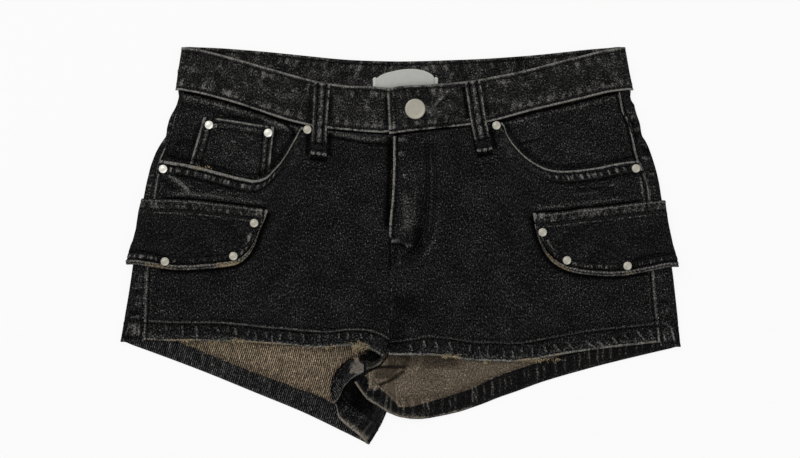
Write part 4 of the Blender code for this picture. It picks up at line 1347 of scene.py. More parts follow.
class Shade(Nodes):
    """Material with its node tree and shader."""

    def __init__(self, name: str) -> None:
        """Make the material."""
        self.material = bpy.data.materials.new(name)
        self.material.use_nodes = True
        super().__init__(self.material.node_tree)
        self.shader = self.tree.nodes["Principled BSDF"]

    def dress(self, colour: Any, roughness: Any, specular: float | None = None) -> None:
        """Set the shader's colour, roughness and gloss."""
        self.feed(self.shader.inputs["Base Color"], colour)
        self.feed(self.shader.inputs["Roughness"], roughness)
        if specular is not None:
            self.shader.inputs["Specular IOR Level"].default_value = specular

    def bump(self, height: Socket, strength: float, distance: float) -> None:
        """Relief too small for the mesh."""
        node = self.add("Bump", {"Strength": strength, "Distance": distance, "Height": height})
        self.feed(self.shader.inputs["Normal"], node.outputs[0])

    def about(self, value: Any) -> Socket:
        """A noise about its middle."""
        return self.math("SUBTRACT", value, 0.5)

    def stretched(self, vector: Any, by: Three) -> Socket:
        """Vector with each part multiplied by its own number."""
        return self.add("VectorMath", {0: vector, 1: by}, operation="MULTIPLY").outputs[0]

    def scaled(self, colour: Any, factor: Any) -> Socket:
        """Colour or vector times a number."""
        first = colour if isinstance(colour, Socket) else tuple(colour)[:3]
        return self.add("VectorMath", {0: first, "Scale": factor}, operation="SCALE").outputs[0]

    def mix(self, factor: Any, first: Any, second: Any) -> Socket:
        """Colour between two colours."""
        return self.add("Mix", {0: factor, 6: first, 7: second}, data_type="RGBA").outputs[2]

    def noise(self, vector: Any, scale: float, detail: float, roughness: float) -> Socket:
        """Noise from 0 to 1 over a vector."""
        return self.add("TexNoise", {"Vector": vector, "Scale": scale, "Detail": detail,
                                     "Roughness": roughness}).outputs[0]

    def ramp(self, value: Any, low: float, high: float) -> Socket:
        """Smooth step from 0 at `low` to 1 at `high`."""
        return self.add("MapRange", {"Value": value, "From Min": low, "From Max": high},
            interpolation_type="SMOOTHSTEP").outputs[0]

    def attribute(self, name: str) -> Socket:
        """Vector attribute of the mesh."""
        return self.add("Attribute", attribute_name=name).outputs["Vector"]

    def parts(self, vector: Any) -> list[Socket]:
        """The three numbers of a vector."""
        return list(self.add("SeparateXYZ", {0: vector}).outputs)


class Finish:
    """Finish of a piece, whose material is made once."""

    name: str

    def material(self) -> bpy.types.Material:
        """The finish as a material."""
        made = bpy.data.materials.get(self.name)
        if made is None:
            shade = Shade(self.name)
            self.paint(shade)
            made = shade.material
        return made

    def paint(self, shade: Shade) -> None:
        """Add the finish's nodes."""
        raise NotImplementedError


@dataclass(frozen=True)
class Denim(Finish):
    """Washed denim: twill of two threads, speckled, abraded where worn, darker where shade is
    painted.

    Each noise is given by its scale, detail and roughness, and each shape by how it is
    stretched. `rubbed` and `browned` give the wear at which the cloth starts to look so, and
    the wear at which all of it does. `relief` is the strength and depth of the weave.
    """

    name: str
    tone: Colour = (0.0088, 0.0088, 0.0089, 1.0)
    abraded: Colour = (0.232, 0.226, 0.208, 1.0)
    frayed: Colour = (0.34, 0.26, 0.155, 1.0)
    speckle: float = 13.0
    streak: float = 2.2
    cloud: float = 1.9
    dots: float = 0.9
    pitch: float = 0.56
    stripes: float = 0.0
    stripe_pitch: float = 1.65
    roughness: float = 0.93
    specular: float = 0.02
    hem_tone: Colour | None = None
    hem_contrast: float = 2.0
    hem_edge: float = 0.4
    hem_grain: float = 2.5
    rub_grain: float = 1.4
    rub_streak: float = 0.5
    brown_grain: float = 0.8
    thread_grain: float = 3.2
    stripe_drift: float = 5.0
    # `most_wear` caps how much wear lightens the cloth; `fade` scales that and the darkening of
    # painted shade.
    most_wear: float = 0.5
    fade: float = 1.6
    rubbed: tuple[float, float] = (0.1, 1.15)
    browned: tuple[float, float] = (0.15, 1.1)
    relief: tuple[float, float] = (0.7, 0.00022)
    speckle_noise: Three = (0.95, 3.0, 0.62)
    streak_noise: Three = (1.0, 1.0, 0.5)
    cloud_noise: Three = (0.045, 3.0, 0.6)
    speckle_shape: Three = (1.0, 0.72, 1.0)
    streak_shape: Three = (1.35, 0.22, 1.0)

    def paint(self, shade: Shade) -> None:
        """Speckled twill, then its abraded and its frayed places."""
        cloth = shade.attribute("cloth")
        wear_and_shade, tan, above = shade.parts(shade.attribute("finish"))
        speckle = shade.noise(shade.stretched(cloth, self.speckle_shape), *self.speckle_noise)
        streak = shade.noise(shade.stretched(cloth, self.streak_shape), *self.streak_noise)
        cloud = shade.noise(cloth, *self.cloud_noise)
        spots = shade.about(speckle)
        gain = shade.more(shade.about(streak), self.streak, shade.times(spots, self.speckle))
        gain = shade.more(shade.about(cloud), self.cloud, gain)
        floats, relief = self._weave(shade, cloth)
        gain = shade.more(floats, self.dots, gain)
        if self.stripes:
            turn = shade.times(shade.parts(cloth)[0], 2.0 * math.pi / self.stripe_pitch)
            wave = shade.math("SINE", shade.more(streak, self.stripe_drift, turn))
            gain = shade.more(wave, self.stripes, gain)
        # Painted shade, where the wear is below nothing, darkens the cloth; wear above it lightens
        # it a little.
        fade = shade.times(shade.math("MINIMUM", wear_and_shade, self.most_wear), self.fade)
        face = shade.scaled(self.tone, shade.math("EXPONENT", shade.math("ADD", gain, fade)))
        if self.hem_tone:
            deep = shade.math("EXPONENT", shade.more(gain, self.hem_contrast, fade))
            uneven = shade.more(spots, self.hem_grain, above)
            uneven = shade.ramp(uneven, -self.hem_edge, self.hem_edge)
            face = shade.mix(uneven, shade.scaled(self.hem_tone, deep), face)
        rubbed = shade.more(spots, self.rub_grain, wear_and_shade)
        rubbed = shade.more(shade.about(streak), self.rub_streak, rubbed)
        thread = shade.math("EXPONENT", shade.times(spots, self.thread_grain))
        pale = shade.scaled(self.abraded, thread)
        face = shade.mix(shade.ramp(rubbed, *self.rubbed), face, pale)
        brown = shade.ramp(shade.more(spots, self.brown_grain, tan), *self.browned)
        face = shade.mix(brown, face, shade.scaled(self.frayed, thread))
        shade.dress(face, self.roughness, self.specular)
        shade.bump(relief, *self.relief)

    def _weave(self, shade: Shade, cloth: Any) -> tuple[Socket, Socket]:
        """Crossing threads of the twill.

        Args:
            shade: Material that gets the nodes.
            cloth: Place in the cloth.

        Returns:
            How far a light crossing thread shows, and the height of the weave.
        """
        place = shade.scaled(cloth, 1.0 / self.pitch)
        cell = shade.add("VectorMath", {0: place}, operation="FLOOR").outputs[0]
        across, down, _ = shade.parts(cell)
        step = shade.math("FLOORED_MODULO", shade.math("ADD", across, down), 4.0)
        crossing = shade.math("LESS_THAN", step, 0.5)
        chance = shade.add("TexWhiteNoise", {"Vector": cell}, noise_dimensions="3D").outputs[0]
        inner = shade.add("VectorMath", {0: place}, operation="FRACTION").outputs[0]
        round_u, round_v = (shade.math("SINE", shade.times(part, math.pi))
                            for part in shade.parts(inner)[:2])
        floats = shade.times(shade.times(crossing, chance), shade.times(round_u, round_v))
        return floats, shade.more(chance, 0.35, shade.more(crossing, -0.6, round_u))


@dataclass(frozen=True)
class Nickel(Finish):
    """Satin nickel with fine turning marks and small scratches."""

    name: str
    tone: Colour = (0.70, 0.68, 0.63, 1.0)
    roughness: float = 0.36
    uneven_tone: float = 0.24
    uneven_gloss: float = 0.14
    scratches: Three = (4200.0, 3.0, 0.6)
    stains: Three = (420.0, 2.0, 0.5)
    relief: tuple[float, float] = (0.25, 0.00006)

    def paint(self, shade: Shade) -> None:
        """Uneven tone and gloss."""
        place = shade.add("TexCoord").outputs["Object"]
        fine = shade.noise(place, *self.scratches)
        broad = shade.noise(place, *self.stains)
        tone = shade.more(broad, self.uneven_tone, 1.0 - self.uneven_tone / 2.0)
        shade.dress(shade.scaled(self.tone, tone),
                    shade.more(fine, self.uneven_gloss, self.roughness - self.uneven_gloss / 2.0))
        shade.shader.inputs["Metallic"].default_value = 1.0
        shade.bump(fine, *self.relief)


@dataclass(frozen=True)
class Thread(Finish):
    """Twisted thread, uneven in tone."""

    name: str
    tone: Colour
    spread: float = 1.2
    roughness: float = 0.8
    specular: float = 0.2
    patches: Three = (700.0, 2.0, 0.6)
    twist: Three = (4000.0, 1.0, 0.5)
    relief: tuple[float, float] = (0.4, 0.0001)

    def paint(self, shade: Shade) -> None:
        """Uneven tone and the twist."""
        place = shade.add("TexCoord").outputs["Object"]
        uneven = shade.about(shade.noise(place, *self.patches))
        gain = shade.math("EXPONENT", shade.times(uneven, 2.0 * self.spread))
        shade.dress(shade.scaled(self.tone, gain), self.roughness, self.specular)
        shade.bump(shade.noise(place, *self.twist), *self.relief)


@dataclass(frozen=True)
class WovenLabel(Finish):
    """Pale label of fine plain weave."""

    name: str
    tone: Colour = (0.575, 0.582, 0.541, 1.0)
    roughness: float = 0.75
    pitch: float = 0.42
    patches: Three = (0.25, 3.0, 0.6)
    relief: tuple[float, float] = (0.5, 0.0001)

    def paint(self, shade: Shade) -> None:
        """Fine weave, a little uneven, lighter where worn or where light is painted, darker where
        shade is painted.
        """
        cloth = shade.attribute("cloth")
        u, v, _ = shade.parts(shade.scaled(cloth, 2.0 * math.pi / self.pitch))
        weave = shade.times(shade.math("SINE", u), shade.math("SINE", v))
        gain = shade.more(weave, 0.04, shade.more(shade.noise(cloth, *self.patches), 0.2, 0.9))
        # Painted light on the folded ends and painted shade in the lines beside them.
        gain = shade.more(shade.parts(shade.attribute("finish"))[0], 0.5, gain)
        shade.dress(shade.scaled(self.tone, gain), self.roughness)
        shade.bump(weave, *self.relief)


PANEL_DENIM = Denim("front_denim")
BACK_DENIM = Denim("back_denim")
FACING_DENIM = Denim("facing_denim", tone=(0.0104, 0.0104, 0.0104, 1.0))
FLAP_DENIM = Denim("flap_denim", tone=(0.0084, 0.0084, 0.0085, 1.0), speckle=11.0)
BAND_DENIM = Denim("band_denim", tone=(0.0135, 0.0133, 0.013, 1.0), speckle=12.0, cloud=2.4)
LOOP_DENIM = Denim("loop_denim", tone=(0.013, 0.0128, 0.0125, 1.0))
INNER_DENIM = Denim("inner_denim", tone=(0.136, 0.109, 0.079, 1), speckle=6, streak=1.3, cloud=0.8,
    dots=-0.5, abraded=(0.2, 0.18, 0.15, 1), specular=0.04, hem_tone=(0.0092, 0.0092, 0.0093, 1),
    hem_contrast=1.4)
STRIPED_DENIM = Denim("striped_denim", tone=(0.121, 0.093, 0.064, 1), speckle=4.8, streak=1.6,
    cloud=0.8, dots=-0.5, stripes=1.3, abraded=(0.2, 0.18, 0.15, 1), specular=0.04,
    hem_tone=(0.0092, 0.0092, 0.0093, 1), hem_contrast=1.7)
BUTTON_METAL = Nickel("button_nickel", tone=(0.303, 0.284, 0.238, 1.0), roughness=0.42)
BRIGHT_METAL = Nickel("bright_rivet_nickel", tone=(0.6, 0.585, 0.53, 1.0))
DULL_METAL = Nickel("dull_rivet_nickel", tone=(0.33, 0.312, 0.264, 1.0), roughness=0.42)
SEAM_THREAD = Thread("seam_thread", (0.016, 0.016, 0.0155, 1.0))
HEM_THREAD = Thread("hem_thread", (0.06, 0.057, 0.051, 1.0))
LOOSE_THREAD = Thread("loose_thread", (0.42, 0.33, 0.20, 1.0))
LABEL_WEAVE = WovenLabel("pale_label_weave")


# ---- stitches and loose threads


@dataclass(frozen=True)
class Stitching:
    """Rows of short raised stitches.

    `rings` gives the rings of one stitch: how far along it each lies, its size and its lift.
    """

    pitch: float = 3.1
    length: float = 2.5
    radius: float = 0.3
    sides: int = 5
    gap: float = 6.0
    first: float = 0.6
    last: float = 0.4
    look: float = 0.8
    flat: float = 0.8
    deepest: float = -0.12
    rings: tuple[Three, ...] = (
        (-1.0, 0.35, -0.22), (-0.55, 1.0, 0.04), (0.55, 1.0, 0.04), (1.0, 0.35, -0.22))

    def mesh(self, name: str, lines: Sequence[Seam]) -> Mesh | None:
        """Mesh of all stitches along some lines.

        Args:
            name: Name of the mesh.
            lines: Points and normals of each line.

        Returns:
            The mesh, or None where there are no stitches.
        """
        parts = [part for line in lines for part in self._places(*line)]
        if not parts:
            return None
        centres, ways, normals = (np.concatenate(kind) for kind in zip(*parts))
        sides = np.cross(normals, ways)
        ends, round_by, lift = np.array(self.rings).T
        ends, round_by = ends * self.length / 2.0, round_by * self.radius
        angles = np.linspace(0.0, 2.0 * np.pi, self.sides, endpoint=False)
        points = (
            centres[:, None, None]
            + ways[:, None, None] * ends[None, :, None, None]
            + sides[:, None, None] * (round_by[:, None] * np.cos(angles))[None, :, :, None]
            + normals[:, None, None]
            * (round_by[:, None] * np.sin(angles) * self.flat + lift[:, None])[None, :, :, None]
        ).reshape(-1, 3)
        points[:, 2] = np.maximum(points[:, 2], self.deepest)
        return joined_tubes(name, points, len(centres), len(ends), self.sides)

    def _places(self, points: Array, normals: Array) -> list[tuple[Array, Array, Array]]:
        """Middles, directions and normals of the stitches on one line."""
        if len(points) < 3:
            return []
        steps = np.linalg.norm(np.diff(points, axis=0), axis=1)
        found = []
        for part in np.split(np.arange(len(points)), np.flatnonzero(steps > self.gap) + 1):
            if len(part) < 3:
                continue
            line = points[part]
            steps_here = np.linalg.norm(np.diff(line, axis=0), axis=1)
            length = np.concatenate([[0.0], np.cumsum(steps_here)])
            at = np.arange(self.pitch * self.first, length[-1] - self.pitch * self.last,
                           self.pitch)
            if not len(at):
                continue
            middle, ahead, behind, up = (
                np.stack([np.interp(at + shift, length, values[:, k]) for k in range(3)], axis=1)
                for values, shift in ((line, 0.0), (line, self.look), (line, -self.look),
                                      (normals[part], 0.0)))
            up /= np.linalg.norm(up, axis=1)[:, None]
            way = ahead - behind
            way -= up * (way * up).sum(axis=1)[:, None]
            way /= np.maximum(np.linalg.norm(way, axis=1), SMALL)[:, None]
            found.append((middle, way, up))
        return found


def joined_tubes(name: str, points: Array, tubes: int, rings: int, sides: int) -> Mesh:
    """One mesh of many capped tubes, in metres.

    Args:
        name: Name of the mesh.
        points: Points of all tubes, ring after ring.
        tubes: Number of tubes.
        rings: Rings of each tube.
        sides: Sides of each ring.

    Returns:
        The mesh.
    """
    ring, side = np.meshgrid(np.arange(rings - 1), np.arange(sides), indexing="ij")
    following = (side + 1) % sides
    quads = np.stack([ring * sides + side, ring * sides + following,
                      (ring + 1) * sides + following, (ring + 1) * sides + side],
                     axis=2).reshape(-1, 4)
    starts = np.arange(tubes)[:, None, None] * rings * sides
    faces = (starts + quads[None]).reshape(-1, 4).tolist()
    first = np.arange(sides)[::-1]
    last = np.arange(sides) + (rings - 1) * sides
    faces += (starts[:, 0] + first).tolist() + (starts[:, 0] + last).tolist()
    mesh = bpy.data.meshes.new(name)
    mesh.from_pydata((points * MM).tolist(), [], faces)
    mesh.polygons.foreach_set("use_smooth", np.ones(len(faces), bool))
    mesh.update()
    return mesh


@dataclass(frozen=True)
class Fray:
    """Tuft of loose threads at one place."""

    x: float
    y: float
    half_x: float
    half_y: float
    count: int
    length: float = 3.0
    heading: float = -90.0
    spread: float = 60.0


@dataclass(frozen=True)
class Fraying:
    """Loose threads on a piece, all in one mesh."""

    radius: float = 0.17
    rings: int = 6
    sides: int = 4
    lift: float = 0.5
    sunk: float = 0.1
    curl: float = 0.45
    bend: float = 2.2
    lengths: tuple[float, float] = (0.5, 1.4)
    arcs: tuple[float, float] = (0.4, 0.9)

    def mesh(self, name: str, grid: Grid, tufts: Sequence[Fray], seed: int) -> Mesh:
        """Mesh of all tufts.

        Args:
            name: Name of the mesh.
            grid: Piece that they grow from.
            tufts: Where they are.
            seed: Seed of their places and curls.

        Returns:
            The mesh.
        """
        random = np.random.default_rng(seed)
        starts, headings, curls, lengths = [], [], [], []
        for tuft in tufts:
            for _ in range(tuft.count):
                starts.append((tuft.x + random.uniform(-1.0, 1.0) * tuft.half_x,
                               tuft.y + random.uniform(-1.0, 1.0) * tuft.half_y))
                headings.append(math.radians(tuft.heading + random.normal() * tuft.spread))
                curls.append(random.normal() * self.curl)
                lengths.append(tuft.length * random.uniform(*self.lengths))
        rest, _ = grid.drop(np.array(starts))
        tubes = []
        angles = np.linspace(0.0, 2.0 * np.pi, self.sides, endpoint=False)
        for start, heading, curl, length in zip(rest, headings, curls, lengths):
            shares = np.linspace(0.0, 1.0, self.rings)
            turns = heading + curl * self.bend * shares
            step = length / (self.rings - 1)
            x = start[0] + np.concatenate([[0.0], np.cumsum(np.cos(turns[:-1]) * step)])
            y = start[1] + np.concatenate([[0.0], np.cumsum(np.sin(turns[:-1]) * step)])
            arc = shares * np.pi * random.uniform(*self.arcs)
            z = start[2] - self.sunk + self.lift * np.sin(arc)
            thin = self.radius * (1.0 - 0.5 * shares)
            for k in range(self.rings):
                sideways = np.array((-math.sin(turns[k]), math.cos(turns[k]), 0.0))
                centre = np.array((x[k], y[k], z[k]))
                tubes.append(centre + thin[k] * (np.cos(angles)[:, None] * sideways
                                                 + np.sin(angles)[:, None] * (0.0, 0.0, 1.0)))
        return joined_tubes(name, np.vstack(tubes), len(rest), self.rings, self.sides)


# ---- pieces


def placed(mesh: Mesh, slot: str, *materials: bpy.types.Material) -> bpy.types.Object:
    """Put a mesh in the scene, on the body, with its materials.

    Args:
        mesh: Mesh of the piece.
        slot: Slot of the piece; not used.
        *materials: Its materials, in the order of its slots.

    Returns:
        The piece.
    """
    for material in materials:
        mesh.materials.append(material)
    item = bpy.data.objects.new(mesh.name, mesh)
    bpy.context.scene.collection.objects.link(item)
    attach(item, "root")
    return item


LEFT_SEAM_LINES: Dressings = (                # where the left outseam has rubbed, with painted shade in the groove beside it
    Crease((((179, 125), (180.5, 119), (182, 110), (183.2, 106.5)), ((187.5, 101), (188.4, 98.6),
        (189.5, 96.5)), ((189.3, 92), (190.5, 86), (192, 78), (194, 70.5), (196, 65))), 0.75, 0.3,
        1.2, taper=0.08),
    # Painted shade in the groove beside the rubbed lines.
    Crease((((177.2, 124), (180.3, 110), (185, 100), (187.4, 90), (190.2, 77), (193.6, 66)),
        ((181.4, 122), (184.4, 109), (190, 98.6), (192.4, 88), (194.2, 78), (197.4, 68))), 0.8,
        -0.2, -1, taper=0.05),
    Dabs(((186, 103.5, 0.9, 1.1), (189.8, 94, 1, 1)), 0.7, 0.2, fade=1))


@dataclass
class ClothPiece:
    """One sewn piece of cloth with its stitches and loose threads.

    `seams` holds its rows of stitches, each with the border that it follows and the distance
    from it. `marks` are the piece's own creases, worn places and painted shade.
    """

    name: str
    slot: str = "denim"
    outer: Finish = PANEL_DENIM
    inner: Finish = INNER_DENIM
    lies_on: str = "floor"
    spacing: float = 1.25
    shell: Shell = Shell()
    seams: Seams = ()
    tufts: tuple[Fray, ...] = ()
    marks: Dressings = ()

    def coarse(self) -> Grid:
        """Coarse grid of the piece."""
        raise NotImplementedError

    def dressing(self, grid: Grid) -> list[Dressing]:
        """Relief and wear of the piece."""
        return []

    def stitches(self, grid: Grid) -> list[Seam]:
        """Lines of stitches on the piece."""
        return [grid.trace(border, distance) for border, distance in self.seams]

    def hem_stitches(self, grid: Grid) -> list[Seam]:
        """Lines of paler stitches on the piece."""
        return []

    def build(self) -> None:
        """Make the piece and all that is sewn on it."""
        grid = self.coarse().refined(self.spacing)
        for treatment in self.dressing(grid):
            treatment.press(grid)
        cloth = placed(self.shell.mesh(self.name + "_cloth", grid), self.slot,
                       self.outer.material(), self.inner.material())
        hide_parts(self.name)
        for kind, lines, thread in (("_stitching", self.stitches(grid), SEAM_THREAD),
                                    ("_hem_stitching", self.hem_stitches(grid), HEM_THREAD)):
            stitches = Stitching().mesh(self.name + kind, lines)
            if stitches is not None:
                placed(stitches, self.slot, thread.material())
        if self.tufts:
            tufts = Fraying().mesh(self.name + "_threads", grid, self.tufts, THREAD_SEED)
            placed(tufts, self.slot, LOOSE_THREAD.material())
        area = grid.area()
        length = max(float(np.median(grid.down[-1])) * MM, LEAST_SHEET)
        width = max(float(np.median(grid.across[:, -1])) * MM, area / length)
        LOG.info("%s: cut %.3f by %.3f m, area %.4f m2, %d triangles", self.name, width, length,
            area, sum(len(p.vertices) - 2 for p in cloth.data.polygons))


@dataclass
class FrontPanel(ClothPiece):
    """Front panel, from the outseam and the pocket mouth to the centre front."""

    side: Sequence[Side] = RIGHT_SIDE
    sections: Sequence[Section] = RIGHT_FRONT
    centre: Sequence[Point] = RIGHT_FRONT_CENTRE
    flap: Sequence[Section] = RIGHT_FLAP
    inward: float = 1.0
    mouth_end: Point = Point(-79.0, 97.0)
    mouth_roll: float = 1.95
    mouth_straight: float = 104.0
    hem_wear: float = 0.5
    hem_drift: Line = ((0, 0), (62, 0), (95, -1.5), (145, -1.7), (190, -0.5))
    stitch_wear: float = 0.6
    seeds: tuple[int, int] = (41, 3)
    shell: Shell = Shell(turned_up=HEM_DEPTH)
    seams: Seams = ((FIRST, 1.8),)
    edges: Dressings = ()

    def coarse(self) -> Grid:
        """Coarse grid of the panel."""
        across = np.linspace(0.0, 1.0, FRONT_COLUMNS)
        down = hem_rows(self.sections, across)
        first = self.sections[0]
        start = edge_at(self.side, first.top_y, first.low_y, self.inward * SEAM_GAP)
        ends = [first._replace(top_x=start[0].x, low_x=start[-1].x), *self.sections[1:]]
        flat = patch(ends, start, self.centre, across, down)
        level = self.level(flat[..., 0], flat[..., 1])
        columns = [column(flat[:, c], level[:, c]) for c in range(FRONT_COLUMNS)]
        columns += list(self.under(columns[-1]))
        present = np.ones((len(down) - 1, len(columns) - 1), bool)
        present[:len(PANEL_ROWS) - 1, FRONT_COLUMNS - 1:] = False
        return Grid.of(columns, hem_thickness(), present)

    def level(self, x: Array, y: Array) -> Array:
        """Level of the panel's outer face."""
        return front_level(x, y)

    def under(self, last: Array) -> Iterator[Array]:
        """Columns that follow the last one, turned under."""
        return iter(())

    def mouth(self, grid: Grid) -> float:
        """Length along the top edge where the pocket mouth ends."""
        gaps = np.hypot(
            grid.points[0, :, 0] - self.mouth_end.x, grid.points[0, :, 1] - self.mouth_end.y)
        return float(grid.across[0, gaps.argmin()])

    def dressing(self, grid: Grid) -> list[Dressing]:
        """Hem, pocket mouth, outseam, painted shade round the flap and under the waistband, and
        the panel's own marks.
        """
        mottle, seed = self.seeds
        return [
            Mottle(wear_and_shade=0.04, size=9, height=0.35, wave=34, seed=mottle),
            *self.around_flap(),
            self.hem(seed),
            *self.mouth_edge(grid, seed + 2),
            self.seam_edge(seed + 5),
            *self.edges,
            # Painted shadow of the waistband along the top edge beyond the pocket mouth.
            Edging(TOP, start=self.mouth(grid), wear_and_shade=-1.5, roll=1.1, roll_height=0, seed=9),
            *self.marks]

    def hem(self, seed: int) -> Edging:
        """Turned-up hem with its puckers, and painted shade in the grooves beside its stitches."""
        return Edging(LOW, wear_and_shade=self.hem_wear, roll=1.5, tan=0.6, band=HEM_DEPTH, pucker=0.3,
            pucker_wear_and_shade=0.24, pitch=5, width=1.2, slant=0.28, seed=seed, drift=self.hem_drift,
            traces=(Trace(15.5, 0.28, self.stitch_wear, 0.8), Trace(13.5, -0.2, -0.8, 0.8),
                Trace(17.6, -0.15, -0.4, 0.9), Trace(3.2, 0.1, 0.34, 1.5)))

    def mouth_edge(self, grid: Grid, seed: int) -> list[Dressing]:
        """Pocket mouth, turned in and stitched twice, with puckers on its straighter part and
        painted shade in the grooves of its stitching.
        """
        return [
            Edging(TOP, end=self.mouth(grid), wear_and_shade=1.15, roll=self.mouth_roll, roll_height=0.35,
                tan=0.4, seed=seed, traces=(Trace(self.mouth_roll + 1.3, -0.3, -1.3, 0.55),
                Trace(self.mouth_roll + 4.2, 0.2, 0.24, 1.7))),
            Edging(TOP, end=self.mouth_straight, wear_and_shade=0, roll=0.1, roll_height=0, band=9,
                gap=self.mouth_roll + 1.2, pucker=0.45, pucker_wear_and_shade=1.35, pitch=4.6, width=1.3,
                slant=0.1, seed=seed + 50, traces=(Trace(10, -0.3, -1.2, 1.1),))]

    def seam_edge(self, seed: int) -> Edging:
        """Outseam's edge, with painted shade in the groove beside it."""
        return Edging(FIRST, wear_and_shade=0.62, roll=1.1, roll_height=0.3, seed=seed,
            traces=(Trace(2.5, -0.25, -0.9, 0.55), Trace(4.8, 0.2, 0.26, 1)))

    def around_flap(self) -> list[Dressing]:
        """Painted shade along the pocket flap's top edge and under its front and low edges, and
        the raised, lighter ridge above it.
        """
        above = [(s.top_x, s.top_y) for s in self.flap]
        below = [(s.low_x, s.low_y) for s in self.flap]
        middle = ((above[0][0] + below[0][0]) / 2.0, (above[0][1] + below[0][1]) / 2.0)
        outward = tuple((x + self.inward * 1.4, y - 1.3) for x, y in (above[0], middle, *below))
        return [
            Crease((tuple((x, y + 1.1) for x, y in above),), 0.8, -0.2, -1.6, taper=0.05),
            Crease((tuple((x, y + 5) for x, y in above),), 1.8, 0.5, 0.3, taper=0.15),
            Crease((outward,), 1.9, -0.2, -1.15, taper=0.03)]

    def stitches(self, grid: Grid) -> list[Seam]:
        """Pocket mouth and outseam."""
        end = self.mouth(grid) - MOUTH_SEAM_END
        return [*(grid.trace(TOP, distance, end=end) for distance in MOUTH_SEAMS),
                *super().stitches(grid)]

    def hem_stitches(self, grid: Grid) -> list[Seam]:
        """Row along the hem."""
        return [grid.trace(LOW, HEM_SEAM, HEM_SEAM_START, drift=self.hem_drift)]


RIGHT_FRONT_MARKS: Dressings = (
    Crease((((-195.5, 60), (-189, 56.5), (-182, 51.5), (-171, 42)),), 2.1, 0.7, 0.6, taper=0.2),
    # Painted shade beside the light streak below the rivet.
    Crease((((-196, 56), (-190, 48), (-182, 43)),), 2, -0.4, -0.5),
    # Painted shadow along the belt loop's sides and lower end.
    Crease((((-75.3, 92), (-76, 83), (-76.4, 73)), ((-57.6, 92), (-58, 83), (-58.2, 72)),
        ((-75, 70.4), (-67, 69.6), (-60, 69))), 1.5, -0.2, -1.3, taper=0.1),
    Dabs(((-150, 42.5, 42, 1.5),), 0.13, 0.3, fade=4),
    Crease((((-62, 92.3), (-45, 89.3), (-28, 87), (-9, 86)),), 2.2, 0.45, 0.36, taper=0.1),
    # Painted shade in the groove under the ridge below the waistband.
    Crease((((-62, 88.6), (-45, 86), (-32, 83.6), (-20, 82.4), (-9, 81.8)),), 1.1, -0.4, -1,
        taper=0.1),
    # Painted shadow of the left panel's lap beside the fly.
    Crease((((-8.6, 90), (-8.9, 60), (-9.9, 35), (-11.6, 12)),), 2.3, -0.2, -1.5, taper=0.1),
    Crease((((-7.4, 70), (-7.6, 50), (-9.2, 28)),), 1, 0, 0.1, tan=0.3),
    # Broad, shallow ridge with painted light, and a trough with painted shade.
    Crease((((-48, 60), (-50, 20), (-46, -20)),), 9, 0.5, 0.05),
    Crease((((-96, 40), (-100, 0), (-94, -45)),), 8, -0.4, -0.05),
    # Painted shade in the fold beside the curve of the pocket mouth.
    Crease((((-107, 51), (-98, 61), (-91, 74), (-86, 83)),), 1.6, -0.2, -0.35, taper=0.35),
    Dabs(((-85, 76, 1.6, 3), (-88, 68, 1.4, 2), (-140, -67.5, 3, 1)), 0.22),
    Crease((((-201, -54), (-192, -54.8)), ((-199, -47), (-193, -46))), 1.3, 0.3, 0.3, taper=0.35),
    Pleats(((-192, -65, 7, 0), (-179, -65.5, 10, 0.5), (-167, -66, 10.5, 0), (-152, -67, 5, 4),
        (-135.5, -69, 6, 1), (-124, -69.5, 7, -2), (-118.5, -73, 6, 0.5), (-110, -71, 7, 0.5),
        (-105.5, -74, 5, 0), (-98, -73, 6, -1), (-90.5, -71, 8, 0.5), (-80, -72, 8, 1),
        (-66.5, -72, 9, 0), (-59.5, -71.5, 7.5, -0.5), (-51, -71, 7, 1), (-43, -70.5, 8, 0),
        (-33, -71.5, 6, 1.5), (-24.5, -73, 4.5, 1.5))))
RIGHT_FRONT_TUFTS = rows(Fray, (
    (-32.5, -83, 6, 2.5, 60, 4, 200, 70), (-174, -78, 5, 0.8, 26, 2.2, -90, 60),
    (-152, -79.5, 12, 0.9, 24, 2, -90, 60), (-133, -78.5, 5, 1.6, 40, 2.4, -80, 60),
    (-78, -84, 20, 0.8, 40, 1.8, -90, 60), (-162, 62.4, 8, 0.9, 30, 1.8, 100, 60)))


@dataclass
class RightFrontPanel(FrontPanel):
    """Wearer's right front, whose hem turns under at the inseam."""

    lies_on: str = "back_panel_right_cloth"
    tufts: tuple[Fray, ...] = RIGHT_FRONT_TUFTS
    marks: Dressings = RIGHT_FRONT_MARKS

    def under(self, last: Array) -> Iterator[Array]:
        """End of the hem, turned under."""
        count = len(last)
        reach = (last[:, 2] - FOLD_TOP) / 2.0
        yield from half_turn(last[:, 0] + reach, last[:, 1], -1.0, last[:, 2],
            np.full(count, FOLD_TOP), drift=HEM_DRIFT)
        for fold in RIGHT_FRONT_UNDER:
            yield fold_column(fold, count, len(PANEL_ROWS) - 2)


FLY_OUTER: Line = (
    (27.5, 86), (27.8, 74), (28.5, 45.5), (26, 12.5), (15, -10), (3, -17.5), (-3.5, -19.5))
FLY_INNER: Line = (
    (21.5, 86), (21.8, 74), (22.5, 45.5), (20.5, 15), (12, -4), (2, -11.5), (-3.5, -13))
FLY_BAR = ((-7.0, 2.0), (9.5, 0.5), 12)     # both ends of its bar, and the points between
LEFT_FLY_EDGES: Dressings = (
    Crease((((196.6, 56), (197.6, 48), (198.6, 40)),), 0.7, 0.25, 0.5, taper=0.1),
    # Worn lap edge, with painted shade in the groove beside it.
    Edging(LAST, end=84, wear_and_shade=1.1, roll=1.3, roll_height=0.25, tan=0.1, seed=19,
        traces=(Trace(3.2, -0.2, -1, 0.6),)),
    # Painted shade along the seam below the fly.
    Edging(LAST, start=84, end=110, wear_and_shade=-0.9, roll=1, roll_height=-0.2, seed=20),
    Edging(LAST, start=110, wear_and_shade=0.12, roll=1.4, roll_height=-0.1, sharp=1.2, seed=21))
